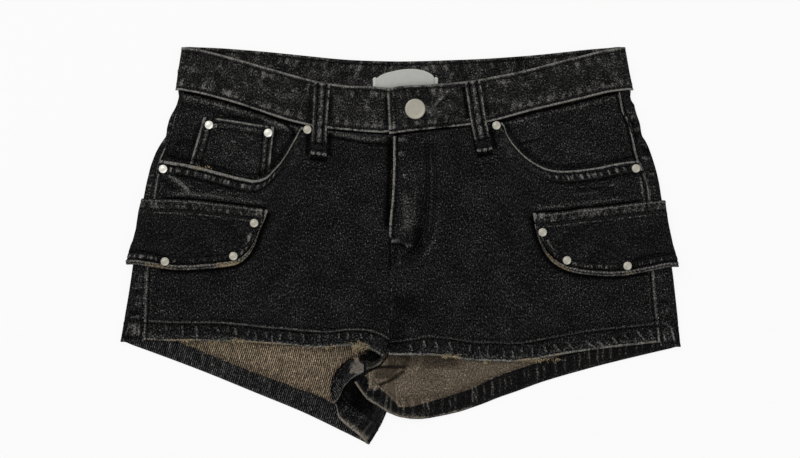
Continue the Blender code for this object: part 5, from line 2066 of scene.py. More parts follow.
LEFT_FRONT_MARKS: Dressings = (
    # Painted shadow along the belt loop's sides and lower end.
    Crease((((59.2, 96), (61, 86), (62.4, 75)), ((74.2, 97), (76, 88), (77.6, 78)), ((62.5, 72.6),
        (69, 73.6), (76, 74.8))), 1.5, -0.2, -1.3, taper=0.1),
    Crease((((136, 41), (152, 41.4), (168, 43)), ((150, 47.6), (166, 48.2), (184, 50.6))), 1.2,
        0.3, 0.22, taper=0.3),
    # Painted shade in the grooves of the fly's curved stitching.
    Crease((FLY_OUTER,), 1.3, -0.35, -0.6, taper=0.1),
    Crease((FLY_INNER,), 1.6, -0.25, -0.8, taper=0.1),
    Crease((((24.6, 84), (25, 60), (25.2, 40), (23, 12)),), 1.8, 0.3, 0.16),
    Crease((((11.5, 62), (12, 45), (11, 25), (9, 10)),), 2.2, 0.3, 0.17),
    Crease((((30.5, 60), (31, 30), (28.5, 8), (24, -3), (17, -11), (9, -17.5), (0, -20.5)),), 2,
        0.35, 0.24, taper=0.45),
    Crease((((2, 48), (4, 34), (5, 18), (3, 7)),), 4.6, 0.7, 0.3),
    # Painted shade in a trough of the fly.
    Crease((((17, 45), (17.5, 25), (15, 8), (12, -6)),), 3, -0.4, -0.5),
    Dabs(((-4.3, 2.6, 2.6, 1), (1.5, 86, 2.6, 0.8), (0.5, 74, 2.2, 1), (6, -1.5, 3, 1),
        (-1.5, -13, 1.2, 3), (3, 56, 1, 1)), 0.5),
    Dabs(((-5.6, 2.6, 1.4, 0.7),), 0.3, fade=1),
    # Painted shade below the bar tack and in the hollows of the fly.
    Crease((((-8, 0), (-3, 0.2), (1.5, -1), (5, -3.6)),), 1, -0.3, -1.5, taper=0.15),
    Crease((((-7.5, 9), (-6, 6), (-4, 4.8)),), 1, -0.2, -0.7),
    Dabs(((9, -4.6, 2, 2.2), (14, 6, 3, 8), (-4, -9, 0.8, 6)), -0.7),
    Dabs(((-3, -74, 5, 10), (4, -51, 6, 5)), -0.5, fade=6),
    # Broad, shallow ridge with painted light, and a trough with painted shade.
    Crease((((58, 50), (62, 10), (57, -40)),), 9, 0.5, 0.05),
    Crease((((104, 40), (108, 0), (100, -50)),), 8, -0.4, -0.05),
    # Painted shade in the trough beside the light creases.
    Crease((((138, 45), (150, 44.8), (160, 46), (171, 47)),), 0.9, -0.25, -0.55),
    Dabs(((84, 83, 1.6, 3), (89, 76, 1.6, 2.4), (127.5, 56.5, 2.2, 2)), 0.25),
    Pleats(((8, -81, 7, 1), (19, -78, 8, 1.5), (28, -78, 9, 3.5), (39.5, -79, 9, 3),
        (57.5, -82.5, 6, -1), (64, -83, 9, 2), (71, -84, 9, 1), (85, -86.5, 6, 0),
        (91.5, -86, 7, 1.5), (99.5, -83, 8, -0.5), (107, -83.5, 8, 2), (117, -82.5, 6.5, 3.5),
        (126, -81.5, 6, 4), (137, -80, 5, 4), (151, -79, 5.5, 9), (161, -78.5, 5, 6.5),
        (173, -74.5, 7, 5), (183, -72.5, 6, 4), (194, -70.5, 8.5, 7), (204, -69.5, 7, 3))))
LEFT_FRONT_TUFTS = rows(Fray, (
    (42, -91, 7, 1.4, 46, 2.6, -90, 60), (70, -96, 3, 1, 16, 2.2, -90, 60),
    (115, -94, 16, 1.2, 60, 2.4, -80, 60)))


@dataclass
class LeftFrontPanel(FrontPanel):
    """Wearer's left front, which laps over the right one at the fly."""

    side: Sequence[Side] = LEFT_SIDE
    sections: Sequence[Section] = LEFT_FRONT
    centre: Sequence[Point] = LEFT_FRONT_CENTRE
    flap: Sequence[Section] = LEFT_FLAP
    inward: float = -1.0
    mouth_end: Point = Point(81.5, 101.0)
    mouth_roll: float = 1.25
    mouth_straight: float = 76.0
    hem_wear: float = 0.85
    hem_drift: Line = ((0, 0), (60, 0.6), (110, 0), (196, 0), (206, -2.2), (224, -4.6))
    stitch_wear: float = 0.36
    seeds: tuple[int, int] = (61, 13)
    lies_on: str = "back_panel_left_cloth"
    tufts: tuple[Fray, ...] = LEFT_FRONT_TUFTS
    edges: Dressings = LEFT_FLY_EDGES
    marks: Dressings = LEFT_FRONT_MARKS

    def level(self, x: Array, y: Array) -> Array:
        """Level of the panel's outer face."""
        return left_front_level(x, y)

    def stitches(self, grid: Grid) -> list[Seam]:
        """Pocket mouth, outseam, the curved rows of the fly and its bar."""
        at = np.linspace(0.0, 1.0, FLY_POINTS)
        lines = (spline(FLY_OUTER, at), spline(FLY_INNER, at), np.linspace(*FLY_BAR))
        return super().stitches(grid) + [grid.drop(line) for line in lines]


@dataclass
class BackPanel(ClothPiece):
    """Back panel, from the outseam round the side fold to the centre back and inner thigh."""

    side: Sequence[Side] = RIGHT_SIDE
    sections: Sequence[Section] = RIGHT_BACK
    centre: Sequence[Point] = RIGHT_BACK_CENTRE
    inward: float = 1.0
    hem_puckers: float = 0.62
    dark_edge: float = 232.0
    seed: int = 23
    sways: Dressings = (RIGHT_SWAY, RIGHT_HEM_SWAY)
    slot: str = "denim_back"
    outer: Finish = BACK_DENIM
    spacing: float = 1.7
    seams: Seams = ((LOW, 14.8), (FIRST, 2.0))

    def coarse(self) -> Grid:
        """Coarse grid of the panel."""
        across = np.linspace(0.0, 1.0, BACK_COLUMNS)
        down = hem_rows(self.sections, across)
        y, fold_x, seam_x = spline(self.side, down[:, 0]).T
        top, low = front_level(fold_x, y), back_level(fold_x, y)
        radius = (top - low) / 2.0
        seam = column(np.column_stack([seam_x, y]), front_level(seam_x, y))
        ready = column(np.column_stack([fold_x + self.inward * radius, y]), top)
        columns = [seam, (seam + ready) / 2.0, ready]
        columns += list(half_turn(fold_x, y, self.inward, top, low))
        start = [Point(row.fold_x, row.y) for row in self.side]
        flat = patch(self.sections, start, self.centre, across, down)
        flat[..., 0] += self.inward * radius[:, None] * (1.0 - across)
        height = self.level(flat[..., 0], flat[..., 1])
        columns += [column(flat[:, c], height[:, c]) for c in range(BACK_COLUMNS)]
        joined = len(columns) - 1
        columns += list(self.thigh(columns[-1]))
        present = np.ones((len(down) - 1, len(columns) - 1), bool)
        present[:CROTCH_ROW, joined:] = False
        return Grid.of(columns, hem_thickness(), present)

    def level(self, x: Array, y: Array) -> Array:
        """Level of the panel's outer face."""
        return back_level(x, y)

    def thigh(self, last: Array) -> Iterator[Array]:
        """Columns of the inner thigh."""
        raise NotImplementedError

    def dressing(self, grid: Grid) -> list[Dressing]:
        """Uneven outer edges, hem, outseam and the panel's own marks.

        The hem is turned up and puckered, with painted shade beside its stitches; its edge is
        darker along the part that lies flat.
        """
        edge = Edging(LOW, wear_and_shade=0.62, roll=1.5, tan=0.3, band=HEM_DEPTH, pucker=0.3,
            pucker_wear_and_shade=self.hem_puckers, pitch=6.5, width=1.15, slant=0.2, seed=self.seed,
            traces=(Trace(14.6, 0.2, -0.35, 0.8), Trace(17, -0.2, -0.35, 1)))
        return [
            *self.sways,
            Mottle(wear_and_shade=0.05, size=9, height=0.3, wave=36, seed=self.seed + 58),
            edge,
            replace(edge, end=self.dark_edge, wear_and_shade=-0.45, roll_height=0, tan=-0.26, band=0,
                traces=()),
            # Worn outseam edge with painted shade in the groove beside it.
            Edging(FIRST, wear_and_shade=0.3, roll=1, roll_height=0.1, seed=self.seed + 5,
                traces=(Trace(1.6, -0.1, -0.7, 0.6),)),
            *self.marks]


RIGHT_BACK_MARKS: Dressings = (
    Crease((((-193, 79), (-195, 74.5), (-197, 70), (-197.3, 65)),), 0.7, 0.3, 0.85, taper=0.1),
    Dabs(((-218.3, -69.5, 4.2, 4.6),), 0.52, 0.2, fade=2.4),
    # Painted shade in the hollow under the turned front hem, and painted shadow along the thigh's
    # upper fold.
    Dabs(((-24, -91.8, 9, 5),), -1.3, fade=2.2, faces_up=False),
    Crease((((-37.8, -95), (-45.5, -101), (-51, -110)),), 3.6, 0, -0.7, taper=0.03,
        faces_up=False),
    Dabs(((-35.8, -100.4, 4.6, 4),), 1.5, fade=2.4, faces_up=False),
    Crease((((-36.5, -93.5), (-33, -98.5), (-29, -103.5)),), 1.1, 0.3, 0.7, taper=0.1,
        faces_up=False),
    # Painted shadow along the edge of the folded inner thigh.
    Crease((((-38.5, -92), (-44.5, -98.5), (-53, -107.5), (-57, -128)),), 1, 0.1, -0.7, taper=0.1,
        faces_up=False),
    Crease((((-56, -131), (-51, -141), (-42, -147.5), (-33.5, -154), (-26, -160.5)),), 2.4, 0.1,
        0.5, taper=0.05, tan=0.4),
    Crease((((-50, -129.5), (-40.5, -135.5), (-30, -142), (-19.5, -149)),), 1, 0.3, 0.5,
        taper=0.1),
    # Painted shade deep in the folded inner thigh.
    Dabs(((-42, -121, 7, 9), (-31, -127, 6, 8)), -1.1, fade=6),
    Crease((((-184.5, 115), (-182, 114)), ((-188, 106.5), (-184.5, 105.5)), ((-190, 99),
        (-186, 98.5)), ((-192.5, 91), (-188, 92)), ((-196, 84), (-191, 85.5)), ((-208, 56),
        (-202, 57)), ((-210, 48), (-203, 49.5)), ((-222, -60), (-212.5, -59.3))), 1.3, 0.3, 0.42,
        taper=0.2),
    Dabs(((-213.5, -45, 3, 4), (-215, -51, 2.6, 2), (-214, -34, 3, 2), (-212, -27.5, 2.4, 2),
        (-206, 43, 2, 2.5)), 0.24),
    Dabs(((-218, -55.5, 4, 1.2), (-212.8, -68, 0.4, 7), (-219, -76.2, 6, 0.5), (-214, -39.5, 3, 1),
        (-187, 110.5, 2, 1), (-190, 95, 2, 1)), -0.6))


@dataclass
class RightBackPanel(BackPanel):
    """Wearer's right back, whose inner thigh is folded up, back and over."""

    inner: Finish = STRIPED_DENIM
    shell: Shell = Shell(0.25, HEM_DEPTH, RIGHT_HEM_LINE, RIGHT_HEM_SPOTS)
    marks: Dressings = RIGHT_BACK_MARKS

    def thigh(self, last: Array) -> Iterator[Array]:
        """Up round the lower fold, back over itself, then over again."""
        rows = len(last)
        reach = FOLD_UPPER / 2.0
        yield from half_turn(last[:, 0] + reach, last[:, 1] - FOLD_LEAN * reach, -1.0,
            np.zeros(rows), np.full(rows, FOLD_UPPER), FOLD_LEAN)
        for fold in RIGHT_THIGH_LOWER:
            yield fold_column(fold, rows, CROTCH_ROW)
        radius = (FOLD_TOP - FOLD_UPPER) / 2.0
        thick = PRESSED * np.broadcast_to(hem_thickness()[:, 0], rows)
        for step in range(-EDGE_STEPS, EDGE_STEPS + 1):
            angle = np.pi / 2.0 * step / EDGE_STEPS
            place = fold_column(RIGHT_THIGH_EDGE, rows, CROTCH_ROW, radius * np.sin(angle),
                PRESSED)
            place[:, 0] += thick + radius * (1.0 - np.cos(angle))
            yield place
        for fold in RIGHT_THIGH_UPPER:
            yield fold_column(fold, rows, CROTCH_ROW)


LEFT_BACK_MARKS: Dressings = (
    *LEFT_SEAM_LINES,
    # Painted shadow of the front hem on the inner face.
    Dabs(((24, -95.5, 20, 2.6),), -0.4, fade=4, faces_up=False),
    Dabs(((220.5, -73, 3.6, 4.6),), 0.52, 0.2, fade=2.4),
    Dabs(((-29.8, -111, 2.6, 4.6), (-21, -122.5, 3, 1.6)), -0.5, fade=2, faces_up=False),
    Crease((((-26, -100), (-25.4, -110), (-24.6, -118.5)),), 1, 0.4, 0.6, taper=0.1,
        faces_up=False),
    # Painted shade in the folds at the crotch, beside their lighter ridges.
    Crease((((-22, -100.6), (-8, -100.4), (5.5, -100.8)), ((-18, -115.6), (-7, -110.5),
        (3.5, -103))), 1.1, -0.3, -1.6, taper=0.1, faces_up=False),
    Crease((((-16, -113.2), (-6, -108.6), (4, -101.6)), ((8, -108), (16, -98), (20, -91))), 1.3,
        0.3, 0.4, faces_up=False, taper=0.35),
    # Painted shadow under the front hem and painted shade between the folds at the crotch.
    Dabs(((-12, -105.5, 8, 3.4), (-1.6, -95.4, 7.6, 3.4)), -0.6, fade=2.4, faces_up=False),
    # More painted shadow of the front hem.
    Dabs(((34, -97, 14, 3),), -0.25, fade=4, faces_up=False),
    Crease((((-27, -119), (-21.5, -119.2), (-17, -118.2), (-13.5, -121.2), (-5.5, -127.7),
        (-0.6, -133.9)),), 0.9, 0.3, 0.62, taper=0.05, faces_up=False),
    Crease((((-37.5, -112), (-33.5, -118), (-28, -124.2), (-19, -130.2), (-9, -136.2), (2, -139.2),
        (20, -140.6)),), 2, 0.1, 0.4, taper=0.05, tan=0.2, faces_up=False),
    Crease((((184, 110), (190, 108.5)), ((187, 103.5), (194, 105.5)), ((190.5, 94), (197, 94.5)),
        ((197, 71), (205, 70)), ((213, -64.5), (222, -66)), ((203, 58), (209, 57))), 1.3, 0.3,
        0.42, taper=0.2),
    Dabs(((212.5, -27, 2.6, 2), (214, -41, 3.2, 1.2), (216, -54, 3, 3), (207, 45, 2, 3),
        (199, 84, 2.2, 2)), 0.24),
    Dabs(((214.6, -72, 0.4, 6), (190, 99, 2, 1.2), (193, 89, 2, 1), (202, 77, 2.4, 1.2),
        (216, -47, 3, 1)), -0.6))


@dataclass
class LeftBackPanel(BackPanel):
    """Wearer's left back, whose inner thigh lies across the right one."""

    side: Sequence[Side] = LEFT_SIDE
    sections: Sequence[Section] = LEFT_BACK
    centre: Sequence[Point] = LEFT_BACK_CENTRE
    inward: float = -1.0
    hem_puckers: float = 1.05
    dark_edge: float = 196.0
    seed: int = 33
    sways: Dressings = (LEFT_SWAY, LEFT_HEM_SWAY)
    shell: Shell = Shell(0.25, HEM_DEPTH, LEFT_HEM_LINE, LEFT_HEM_SPOTS)
    marks: Dressings = LEFT_BACK_MARKS

    def level(self, x: Array, y: Array) -> Array:
        """Level of the panel's outer face."""
        return left_back_level(x, y)

    def thigh(self, last: Array) -> Iterator[Array]:
        """Inner thigh, lying across the right one."""
        for fold in LEFT_THIGH:
            yield fold_column(fold, len(last), CROTCH_ROW)


@dataclass
class PlainPiece(ClothPiece):
    """Plain sheet with straight ends: a facing, the coin pocket or a back belt loop."""

    sections: Sequence[Section] = RIGHT_FACING
    cloth: float = CLOTH
    rows: int = 7
    places: int = 9

    def level(self, x: Array, y: Array) -> Array:
        """Level of the outer face."""
        return facing_level(x, y)

    def coarse(self) -> Grid:
        """Coarse grid of the piece."""
        down = np.linspace(0.0, 1.0, self.rows)
        columns = []
        for row in spline(self.sections, np.linspace(0.0, 1.0, self.places)):
            flat = along_section(row, down)
            columns.append(column(flat, self.level(flat[:, 0], flat[:, 1])))
        return Grid.of(columns, self.cloth)


@dataclass
class Facing(PlainPiece):
    """Pocket facing inside a front panel, with its own creases."""

    side: Sequence[Side] = RIGHT_SIDE
    inward: float = 1.0
    slot: str = "denim_facing"
    outer: Finish = FACING_DENIM

    def coarse(self) -> Grid:
        """Coarse grid of the facing, whose first columns follow the outseam."""
        grid = super().coarse()
        seam = edge_at(self.side, *FACING_SEAM, self.inward * SEAM_GAP)[::-1]
        y = grid.points[:, 0, 1]
        goal = np.interp(y, [place.y for place in seam], [place.x for place in seam])
        low, high = FACING_FOLLOWS
        shift = np.where((y > low) & (y < high), goal - grid.points[:, 0, 0], 0.0)
        for place, share in enumerate(FACING_SHARES):
            grid.points[:, place, 0] += share * shift
        return Grid(grid.points, grid.thickness, grid.present)

    def dressing(self, grid: Grid) -> list[Dressing]:
        """Gentle waves, the painted shadow of the waistband, and the pressed seam below it."""
        return [
            RIGHT_SWAY if self.inward > 0 else LEFT_SWAY,
            Mottle(wear_and_shade=0.08, size=8, height=0.18, wave=26, seed=101),
            # Painted shadow of the waistband along the top edge, then a pressed, puckered band.
            Edging(TOP, wear_and_shade=-1.8, roll=1.7, roll_height=-0.2, sharp=0.8, band=8, pucker=0.25,
                pucker_wear_and_shade=0.3, pitch=3.2, width=0.8, seed=102,
                traces=(Trace(4.6, 0.35, 0.34, 1.3),)),
            *self.marks]


RIGHT_FACING_MARKS: Dressings = (
    # Pressed seam ridge below the waistband, with painted shade in the groove under it.
    Edging(TOP, wear_and_shade=0, roll=0.1, roll_height=0, seed=103, traces=(Trace(6, 0.4, 0.2, 2.6),
        Trace(11, -0.3, -0.35, 1.4))),
    # Painted shade in a curved fold, beside its lighter ridge.
    Crease((((-106, 104.5), (-97, 100.5), (-89, 94), (-86, 88)),), 1.1, -0.45, -1),
    Crease((((-104, 101), (-96, 97), (-90, 91)),), 1.6, 0.4, 0.16),
    # Painted shadow round the coin pocket's edges and under the pocket mouth.
    Crease((((-164.5, 99), (-169, 86), (-175.5, 66)), ((-152, 105.6), (-130, 103.6),
        (-110, 100.6)), ((-101.5, 94), (-104, 80), (-105.4, 62))), 1.5, -0.2, -0.6, taper=0.1),
    Crease((((-194, 73), (-170, 68), (-150, 63.5), (-130, 58.5), (-117, 58), (-106, 63.5),
        (-98.5, 73), (-92, 84), (-86, 93)),), 1.9, -0.2, -0.6, taper=0.05),
    Dabs(((-186, 74, 6, 2), (-178, 84, 5, 2)), -0.35, fade=3),
    Crease((((-146, 106.5), (-149.5, 103.5)),), 1.2, 0.3, 0.5, tan=0.3, taper=0.35))
LEFT_FACING_MARKS: Dressings = (
    # Painted shade in a fold, beside its lighter ridge.
    Crease((((96, 82), (107, 84.6), (118, 87.2)),), 0.9, -0.4, -0.9),
    Crease((((96.5, 84.5), (107, 87), (117, 89.5)),), 1.4, 0.3, 0.12),
    # Painted shadow under the pocket mouth.
    Crease((((84.5, 101), (92, 90.5), (101, 78.5), (111, 70), (122, 65.5), (140, 64), (160, 66),
        (180, 69.8), (195, 72.5)),), 1.7, -0.2, -0.55, taper=0.05),
    Crease((((134, 101.5), (148, 101)), ((130, 96.5), (142, 97.5)), ((96, 101), (118, 99))), 1,
        0.2, 0.14, taper=0.35),
    *LEFT_SEAM_LINES)


@dataclass
class CoinPocket(PlainPiece):
    """Small pocket on the right facing."""

    slot: str = "denim_facing"
    outer: Finish = FACING_DENIM
    lies_on: str = "pocket_facing_right_cloth"
    spacing: float = 1.0
    sections: Sequence[Section] = COIN_POCKET
    seams: Seams = (
        (FIRST, 2.0), (FIRST, 7.2), (LAST, 2.0), (LAST, 7.2), (TOP, 2.2))

    def level(self, x: Array, y: Array) -> Array:
        """Level of the outer face."""
        return coin_level(x, y)

    def dressing(self, grid: Grid) -> list[Dressing]:
        """Turned edges on three sides, with painted shade in the grooves of their stitching and
        the painted shadow of the pocket mouth.
        """
        edge = Edging(FIRST, wear_and_shade=0.85, roll=1.35, roll_height=0.2, tan=0.1, band=7, pucker=0.25,
            pucker_wear_and_shade=0.45, pitch=5.5, width=1.7, seed=111,
            traces=(Trace(3.2, -0.25, -1.2, 0.6), Trace(5.8, 0.2, 0.26, 1),
                Trace(8.2, -0.25, -1.1, 0.9)))
        return [
            Mottle(wear_and_shade=0.14, size=6, height=0.1, wave=20, seed=112, raise_by=0.07),
            edge,
            replace(edge, border=LAST, seed=113, wear_and_shade=0.75, roll=1.2),
            replace(edge, border=TOP, seed=114, start=11, wear_and_shade=0.82, roll=1.05, band=0,
                traces=(Trace(2.5, -0.25, -1.1, 0.5), Trace(4.5, 0.2, 0.22, 1),
                Trace(8, -0.2, -0.7, 0.7))),
            Dabs(((-160.5, 103.3, 0.9, 0.9), (-104.8, 94.5, 1.2, 1.2), (-104.6, 89.8, 1, 0.9),
                (-152, 97, 1, 1.6)), 0.7, fade=0.9),
            Crease((((-151.5, 106), (-149, 102.5)), ((-149, 106.4), (-147, 103))), 0.7, 0.2, 0.7,
                taper=0.1),
            # Painted shadow of the pocket mouth.
            Crease((((-173, 70), (-150, 63), (-130, 58.5), (-117, 58), (-106, 64)),), 2, -0.2,
                -0.65, taper=0)]


@dataclass
class PocketFlap(ClothPiece):
    """Pocket flap from its front end round the side fold to its hidden back end."""

    sections: Sequence[Section] = RIGHT_FLAP
    fold: Section = RIGHT_FLAP_FOLD
    back: Sequence[Section] = FLAP_BACK
    inward: float = 1.0
    seed: int = 121
    sway: Sway = RIGHT_FLAP_SWAY
    slot: str = "denim_flap"
    outer: Finish = FLAP_DENIM
    inner: Finish = FLAP_DENIM
    spacing: float = 1.1
    shell: Shell = Shell(0.4)
    seams: Seams = ((TOP, 9.0), (LOW, 2.4), (LOW, 8.8))

    def coarse(self) -> Grid:
        """Coarse grid of the flap."""
        down = np.linspace(0.0, 1.0, FLAP_ROWS)
        columns = []
        for row in spline(self.sections, np.linspace(0.0, 1.0, FLAP_COLUMNS)):
            flat = along_section(row, down)
            columns.append(column(flat, flap_level(flat[:, 0], flat[:, 1])))
        edge_x, edge_y = along_section(self.fold, down).T
        top = flap_level(edge_x, edge_y)
        columns.append(column(np.column_stack([edge_x + self.inward * top / 2.0, edge_y]), top))
        for place in half_turn(edge_x, edge_y, self.inward, top, np.zeros(FLAP_ROWS)):
            place[:, 3] = 1.0
            columns.append(place)
        columns += [column(along_section(row, down), 0.0) for row in self.back]
        return Grid.of(columns, FLAP_CLOTH)

    def dressing(self, grid: Grid) -> list[Dressing]:
        """Piped lower edge, puckered band and the faded top band, with painted shade in the
        grooves between piping and stitches.
        """
        low = Edging(LOW, wear_and_shade=0.34, roll=3.3, roll_height=0.25, tan=0.5, band=8.6, pucker=0.3,
            pucker_wear_and_shade=1, pitch=3.2, width=0.9, slant=0.1, gap=1.6, seed=self.seed,
            traces=(Trace(0.5, 0.1, 0.35, 0.4), Trace(1.4, -0.2, -0.6, 0.4),
                Trace(2.5, 0.2, 1.3, 0.6), Trace(4.7, -0.3, -1.2, 0.6),
                Trace(9.4, -0.25, -0.7, 0.9)))
        return [
            Mottle(wear_and_shade=0.04, size=8, height=0.15, wave=30, seed=self.seed + 1),
            low,
            replace(low, border=FIRST, seed=self.seed + 2, band=0, tan=0.3, wear_and_shade=0.85, roll=1.5,
                traces=(Trace(3, -0.2, -0.8, 0.6), Trace(4.8, 0.2, 0.4, 0.6))),
            Edging(TOP, wear_and_shade=0.16, roll=7.2, roll_height=0, sharp=1.4, seed=self.seed + 3,
                traces=(Trace(1.3, 0.2, 0.55, 0.55), Trace(3.8, 0, -0.1, 0.6),
                Trace(8.6, -0.2, -0.5, 0.8), Trace(11, 0.1, 0.42, 0.8))),
            Edging(TOP, wear_and_shade=0, roll=0.1, roll_height=0, band=8, gap=1.4, pucker=0.2,
                pucker_wear_and_shade=0.46, pitch=4.4, width=1.5, seed=self.seed + 4),
            self.sway,
            *self.marks]


RIGHT_FLAP_MARKS: Dressings = (
    Dabs(((-116, 26.6, 1.3, 1.8), (-124, 5.6, 0.9, 2.4), (-130, -6, 1, 1.8)), 0.5),
    Crease((((-108.8, 29.5), (-112.2, 22.5)), ((-109, 24), (-110.8, 20)), ((-121, 14), (-126, 1),
        (-131, -7.5))), 1.1, 0.3, 0.5, taper=0.35),
    Dabs(((-206, 31.5, 9, 3),), 0.2, fade=3),
    Dabs(((-212, -10.2, 11, 1.2),), 0.36, fade=2),
    Crease((((-224, -4.5), (-210, -5.5), (-197, -8.5)),), 1, -0.2, -0.6, taper=0.1),
    Dabs(((-142, -16, 8, 1),), 0.2, tan=0.3),
    Crease((((-172, 8), (-150, 10)), ((-205, 12), (-180, 13))), 3, 0.3, 0.06, taper=0.35))
LEFT_FLAP_MARKS: Dressings = (
    Dabs(((110.9, 23.6, 0.8, 2.6), (116, 24, 0.9, 1.6)), 0.6),
    Crease((((120, 5), (123.5, -2), (130, -10)),), 1.3, 0.3, 0.5, taper=0.15),
    # Painted shade in a fold, beside its lighter ridge.
    Crease((((116, 3), (119.5, -5), (127, -13)),), 1, -0.2, -0.7, taper=0.1),
    Dabs(((157, 27, 13, 2),), 0.16, tan=0.14),
    Dabs(((193, 31, 22, 2.6),), 0.1, fade=3),
    Dabs(((143, -16.6, 1.2, 1), (149.5, -16.4, 0.9, 1.4), (155.5, -17, 1.2, 1),
        (163, -16.6, 1.4, 1.1), (169.5, -17, 0.9, 1.4), (175, -16.4, 1.2, 1.4)), 0.34),
    Crease((((190, -12.5), (205, -9), (226, -6)),), 1, -0.2, -0.6, taper=0.1),
    Crease((((150, 6), (172, 4)), ((186, 16), (206, 18))), 3, 0.3, 0.06, taper=0.35))


@dataclass
class Waistband(ClothPiece):
    """One long band from the under end round the back to the lapped end."""

    slot: str = "denim_band"
    outer: Finish = BAND_DENIM
    inner: Finish = BAND_DENIM
    shell: Shell = Shell(0.3)
    seams: Seams = ((TOP, 2.3), (LOW, 2.5), (LAST, 2.2), (LAST, 7.0))

    def coarse(self) -> Grid:
        """Coarse grid of the band."""
        down = np.linspace(0.0, 1.0, BAND_ROWS)

        def columns(sections: Sequence[Band], count: int) -> list[Array]:
            """Columns of one side of the band."""
            rows = spline(sections, np.linspace(0.0, 1.0, count))
            return [column(along_section(row, down), row[4]) for row in rows]

        def turn(last: Array, following: Array, inward: float) -> list[Array]:
            """Columns round a side fold."""
            reach = np.abs(last[:, 2] - following[:, 2]) / 2.0
            edge_x = (last[:, 0] + following[:, 0]) / 2.0 - inward * reach
            edge_y = (last[:, 1] + following[:, 1]) / 2.0
            return list(half_turn(edge_x, edge_y, inward, last[:, 2], following[:, 2]))

        right = columns(BAND_RIGHT_FRONT, BAND_FRONT_COLUMNS)
        back = columns(BAND_BACK, BAND_BACK_COLUMNS)
        left = columns(BAND_LEFT_FRONT, BAND_FRONT_COLUMNS)
        around = right + turn(right[-1], back[0], 1.0) + back
        around += turn(back[-1], left[0], -1.0) + left
        return Grid.of(around, BAND_CLOTH)

    def dressing(self, grid: Grid) -> list[Dressing]:
        """Rolled edges, puckers along both seams and faded mottling, with painted shade in the
        seam grooves and painted shadow of the belt loops and of the lapped end.
        """
        back = grid.across[0][grid.normals[0, :, 2] < 0]
        edge = Edging(TOP, wear_and_shade=0.8, roll=1.3, roll_height=0.15, tan=0.12, band=10, pucker=0.3,
            pucker_wear_and_shade=0.55, pitch=6.5, width=1.7, slant=0.1, seed=131,
            traces=(Trace(2.8, -0.25, -0.8, 0.6),))
        return [
            Mottle(wear_and_shade=0.26, size=6, height=0.22, wave=17, seed=132, raise_by=0.09),
            edge,
            Edging(TOP, start=float(back.min()) + 4, end=float(back.max()) - 4, wear_and_shade=-0.62,
                roll=1.5, roll_height=0, seed=135),
            # Worn lower edge with painted shade in the groove of its stitching.
            replace(edge, border=LOW, wear_and_shade=1.2, roll=1.1, gap=2, seed=133,
                traces=(Trace(2.4, -0.25, -1.7, 0.6), Trace(5.2, 0.2, 0.2, 1.2))),
            Crease((((-60, 96), (-45, 94.6), (-25, 93), (-12, 92.7)),), 1.3, 0, -0.5, taper=0.1),
            # Painted shadow along the sides of the belt loops.
            Crease((((-74.6, 99.5), (-73.2, 130)), ((-58.2, 99), (-56.2, 128)), ((71.6, 106),
                (67.8, 131))), 1.4, -0.2, -0.7, taper=0.05),
            Crease((((55.4, 103), (51.2, 130)),), 1.5, -0.2, -1.2, taper=0.05),
            replace(edge, border=LAST, wear_and_shade=0.95, roll=1.2, band=0, seed=134,
                traces=(Trace(2.5, -0.2, -0.8, 0.5), Trace(6, -0.2, -0.6, 0.8))),
            Crease((((-8, 91.4), (3, 93.4), (25, 95.7), (50, 98.2), (58, 99.2)),), 1.2, 0, -0.5,
                taper=0.1),
            # Painted shadow of the lapped end on the under end.
            Crease((((-12.8, 126), (-11.6, 110), (-10.8, 96)),), 1.3, -0.2, -0.8, taper=0.1),
            Crease((((40, 126.8), (33.5, 120), (27, 113.6)),), 1.1, 0.5, 0.5, taper=0.15),
            # Painted shade in the fold beside the light crease.
            Crease((((42, 125), (35.5, 117.8), (29, 111.2)),), 1.3, -0.2, -0.4),
            Crease((((-192, 138), (-184, 141.5), (-175, 147)),), 1.6, 0.5, 0.5, taper=0.15),
            Dabs(((-5.5, 98, 1.8, 6),), 0.42),
            Crease((((-9.5, 124), (-5, 129)), ((21.5, 112), (22.5, 107)), ((24, 110.5),
                (24.6, 106))), 0.9, 0.25, 0.42, taper=0.35)]


